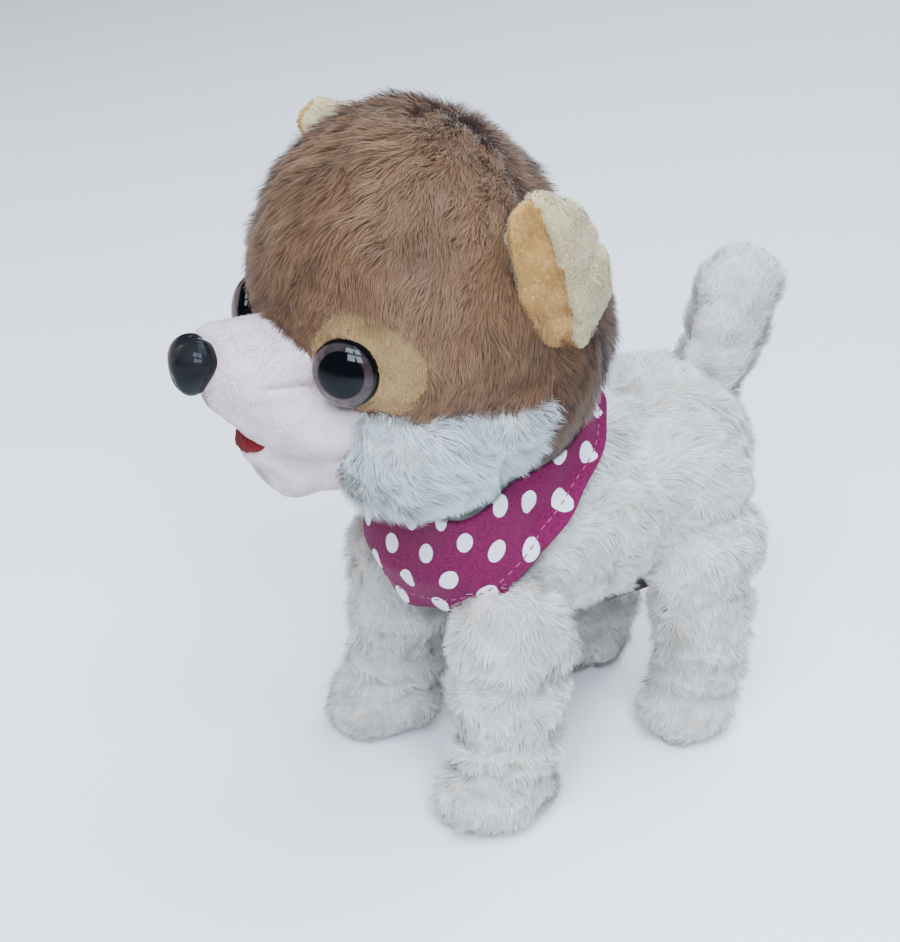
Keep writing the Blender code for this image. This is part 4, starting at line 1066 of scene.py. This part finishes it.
def finish_frame_parts():
    """Better materials for the pieces of the frame that show or can be seen inside."""
    metal = {"scale": 900, "strength": 0.1, "metal": 1.0}
    made = {
        "grey_plastic": moulded_material("grey_moulding", (0.30, 0.30, 0.31), (0.38, 0.38, 0.39)),
        "brown_plastic": moulded_material(
            "brown_moulding", (0.045, 0.024, 0.015), (0.075, 0.042, 0.027), 0.4
        ),
        "white_nylon": moulded_material("white_moulding", (0.62, 0.61, 0.56), (0.74, 0.73, 0.68), 0.35),
        "steel": moulded_material(
            "plated_steel", (0.50, 0.50, 0.51), (0.66, 0.66, 0.67), 0.3, stretch=(1, 1, 9), **metal
        ),
        "brass": moulded_material(
            "turned_brass", (0.58, 0.42, 0.17), (0.74, 0.56, 0.26), 0.28, stretch=(9, 1, 1), **metal
        ),
        "cell_sleeve": moulded_material("cell_sleeve_film", (0.02, 0.035, 0.045), (0.04, 0.06, 0.075), 0.3),
        "circuit_green": moulded_material("board_lacquer", (0.012, 0.11, 0.035), (0.025, 0.19, 0.06), 0.35),
        "black_plastic": moulded_material(
            "black_moulding", (0.012, 0.012, 0.012), (0.024, 0.024, 0.025), 0.4
        ),
        "red_wire": moulded_material("red_insulation", (0.42, 0.012, 0.012), (0.58, 0.03, 0.03), 0.4),
        "black_wire": moulded_material("black_insulation", (0.012, 0.012, 0.012), (0.025, 0.025, 0.025), 0.4),
        "wadding": cloth_material("loose_wadding", (0.70, 0.70, 0.69), (0.86, 0.86, 0.85), 500.0, 0.8),
    }
    for part in frame["record"]["subparts"]:
        obj = frame["nodes"][part["node"]]
        if not obj.hide_render and part["material_slot"] in made:
            obj.data.materials.clear()
            obj.data.materials.append(made[part["material_slot"]])


# ---------------------------------------------------------------- camera, light and floor


SKY = (0.66, 0.81, 1.0)  # the colour of light from the window


def stage():
    camera = bpy.data.cameras.new("camera")
    camera.sensor_width = 36
    camera.lens = 61.72
    view = bpy.data.objects.new("camera", camera)
    bpy.context.scene.collection.objects.link(view)
    yaw, pitch, roll = math.radians(57.9), math.radians(26.9), math.radians(0.3)
    look = Vector((-math.sin(yaw) * math.cos(pitch), math.cos(yaw) * math.cos(pitch), -math.sin(pitch)))
    right = Vector((math.cos(yaw), math.sin(yaw), 0))
    up = right.cross(look)
    turned = Matrix.Rotation(roll, 3, look)
    right, up = turned @ right, turned @ up
    basis = Matrix((right, up, -look)).transposed().to_4x4()
    view.matrix_world = Matrix.Translation(Vector((365, -265 + FORWARD, 325)) * MM) @ basis
    bpy.context.scene.camera = view

    mat, _, shader = nodes_of("pale_floor")
    shader.inputs["Base Color"].default_value = (0.84, 0.83, 0.82, 1)
    shader.inputs["Roughness"].default_value = 0.9
    bpy.ops.mesh.primitive_plane_add(size=12)
    floor = bpy.context.object
    floor.name = "floor"
    floor.data.materials.append(mat)

    world = bpy.data.worlds.new("soft_room")
    world.use_nodes = True
    world.node_tree.nodes["Background"].inputs[0].default_value = (0.62, 0.79, 1.0, 1)
    world.node_tree.nodes["Background"].inputs[1].default_value = 0.24
    bpy.context.scene.world = world

    def light(name, place, power, size, colour, target=(0, 0, 0.11)):
        lamp = bpy.data.lights.new(name, "AREA")
        lamp.energy = power
        lamp.size = size
        lamp.color = colour
        obj = bpy.data.objects.new(name, lamp)
        obj.location = place
        obj.rotation_euler = (Vector(target) - Vector(place)).to_track_quat("-Z", "Y").to_euler()
        bpy.context.scene.collection.objects.link(obj)

    # a window of four panes, high on the right, a warm wall on the left and the sky above and behind
    middle, right, up = Vector((0.47, -0.33, 0.77)), Vector((0.54, 0.84, 0)), Vector((-0.64, 0.41, 0.65))
    for across in (-0.16, 0.16):
        for along in (-0.18, 0.18):
            place = middle + right * across + up * along
            light(f"pane_{across}_{along}", place, 7.6, 0.27, SKY)
    light("warm_wall", (-0.8, -0.5, 0.25), 3.5, 0.8, (1.0, 0.82, 0.68))
    light("sky_above", (0.15, 0.45, 1.25), 20.0, 0.9, SKY)
    light("sky_behind", (-0.7, 1.2, 1.4), 34.0, 1.4, (0.80, 0.90, 1.0), (-0.5, 0.5, 0))


head()
snout()
nose()
mouth()
eyes()
ears()
body()
legs()
tail()
bandana()
finish_frame_parts()
stage()
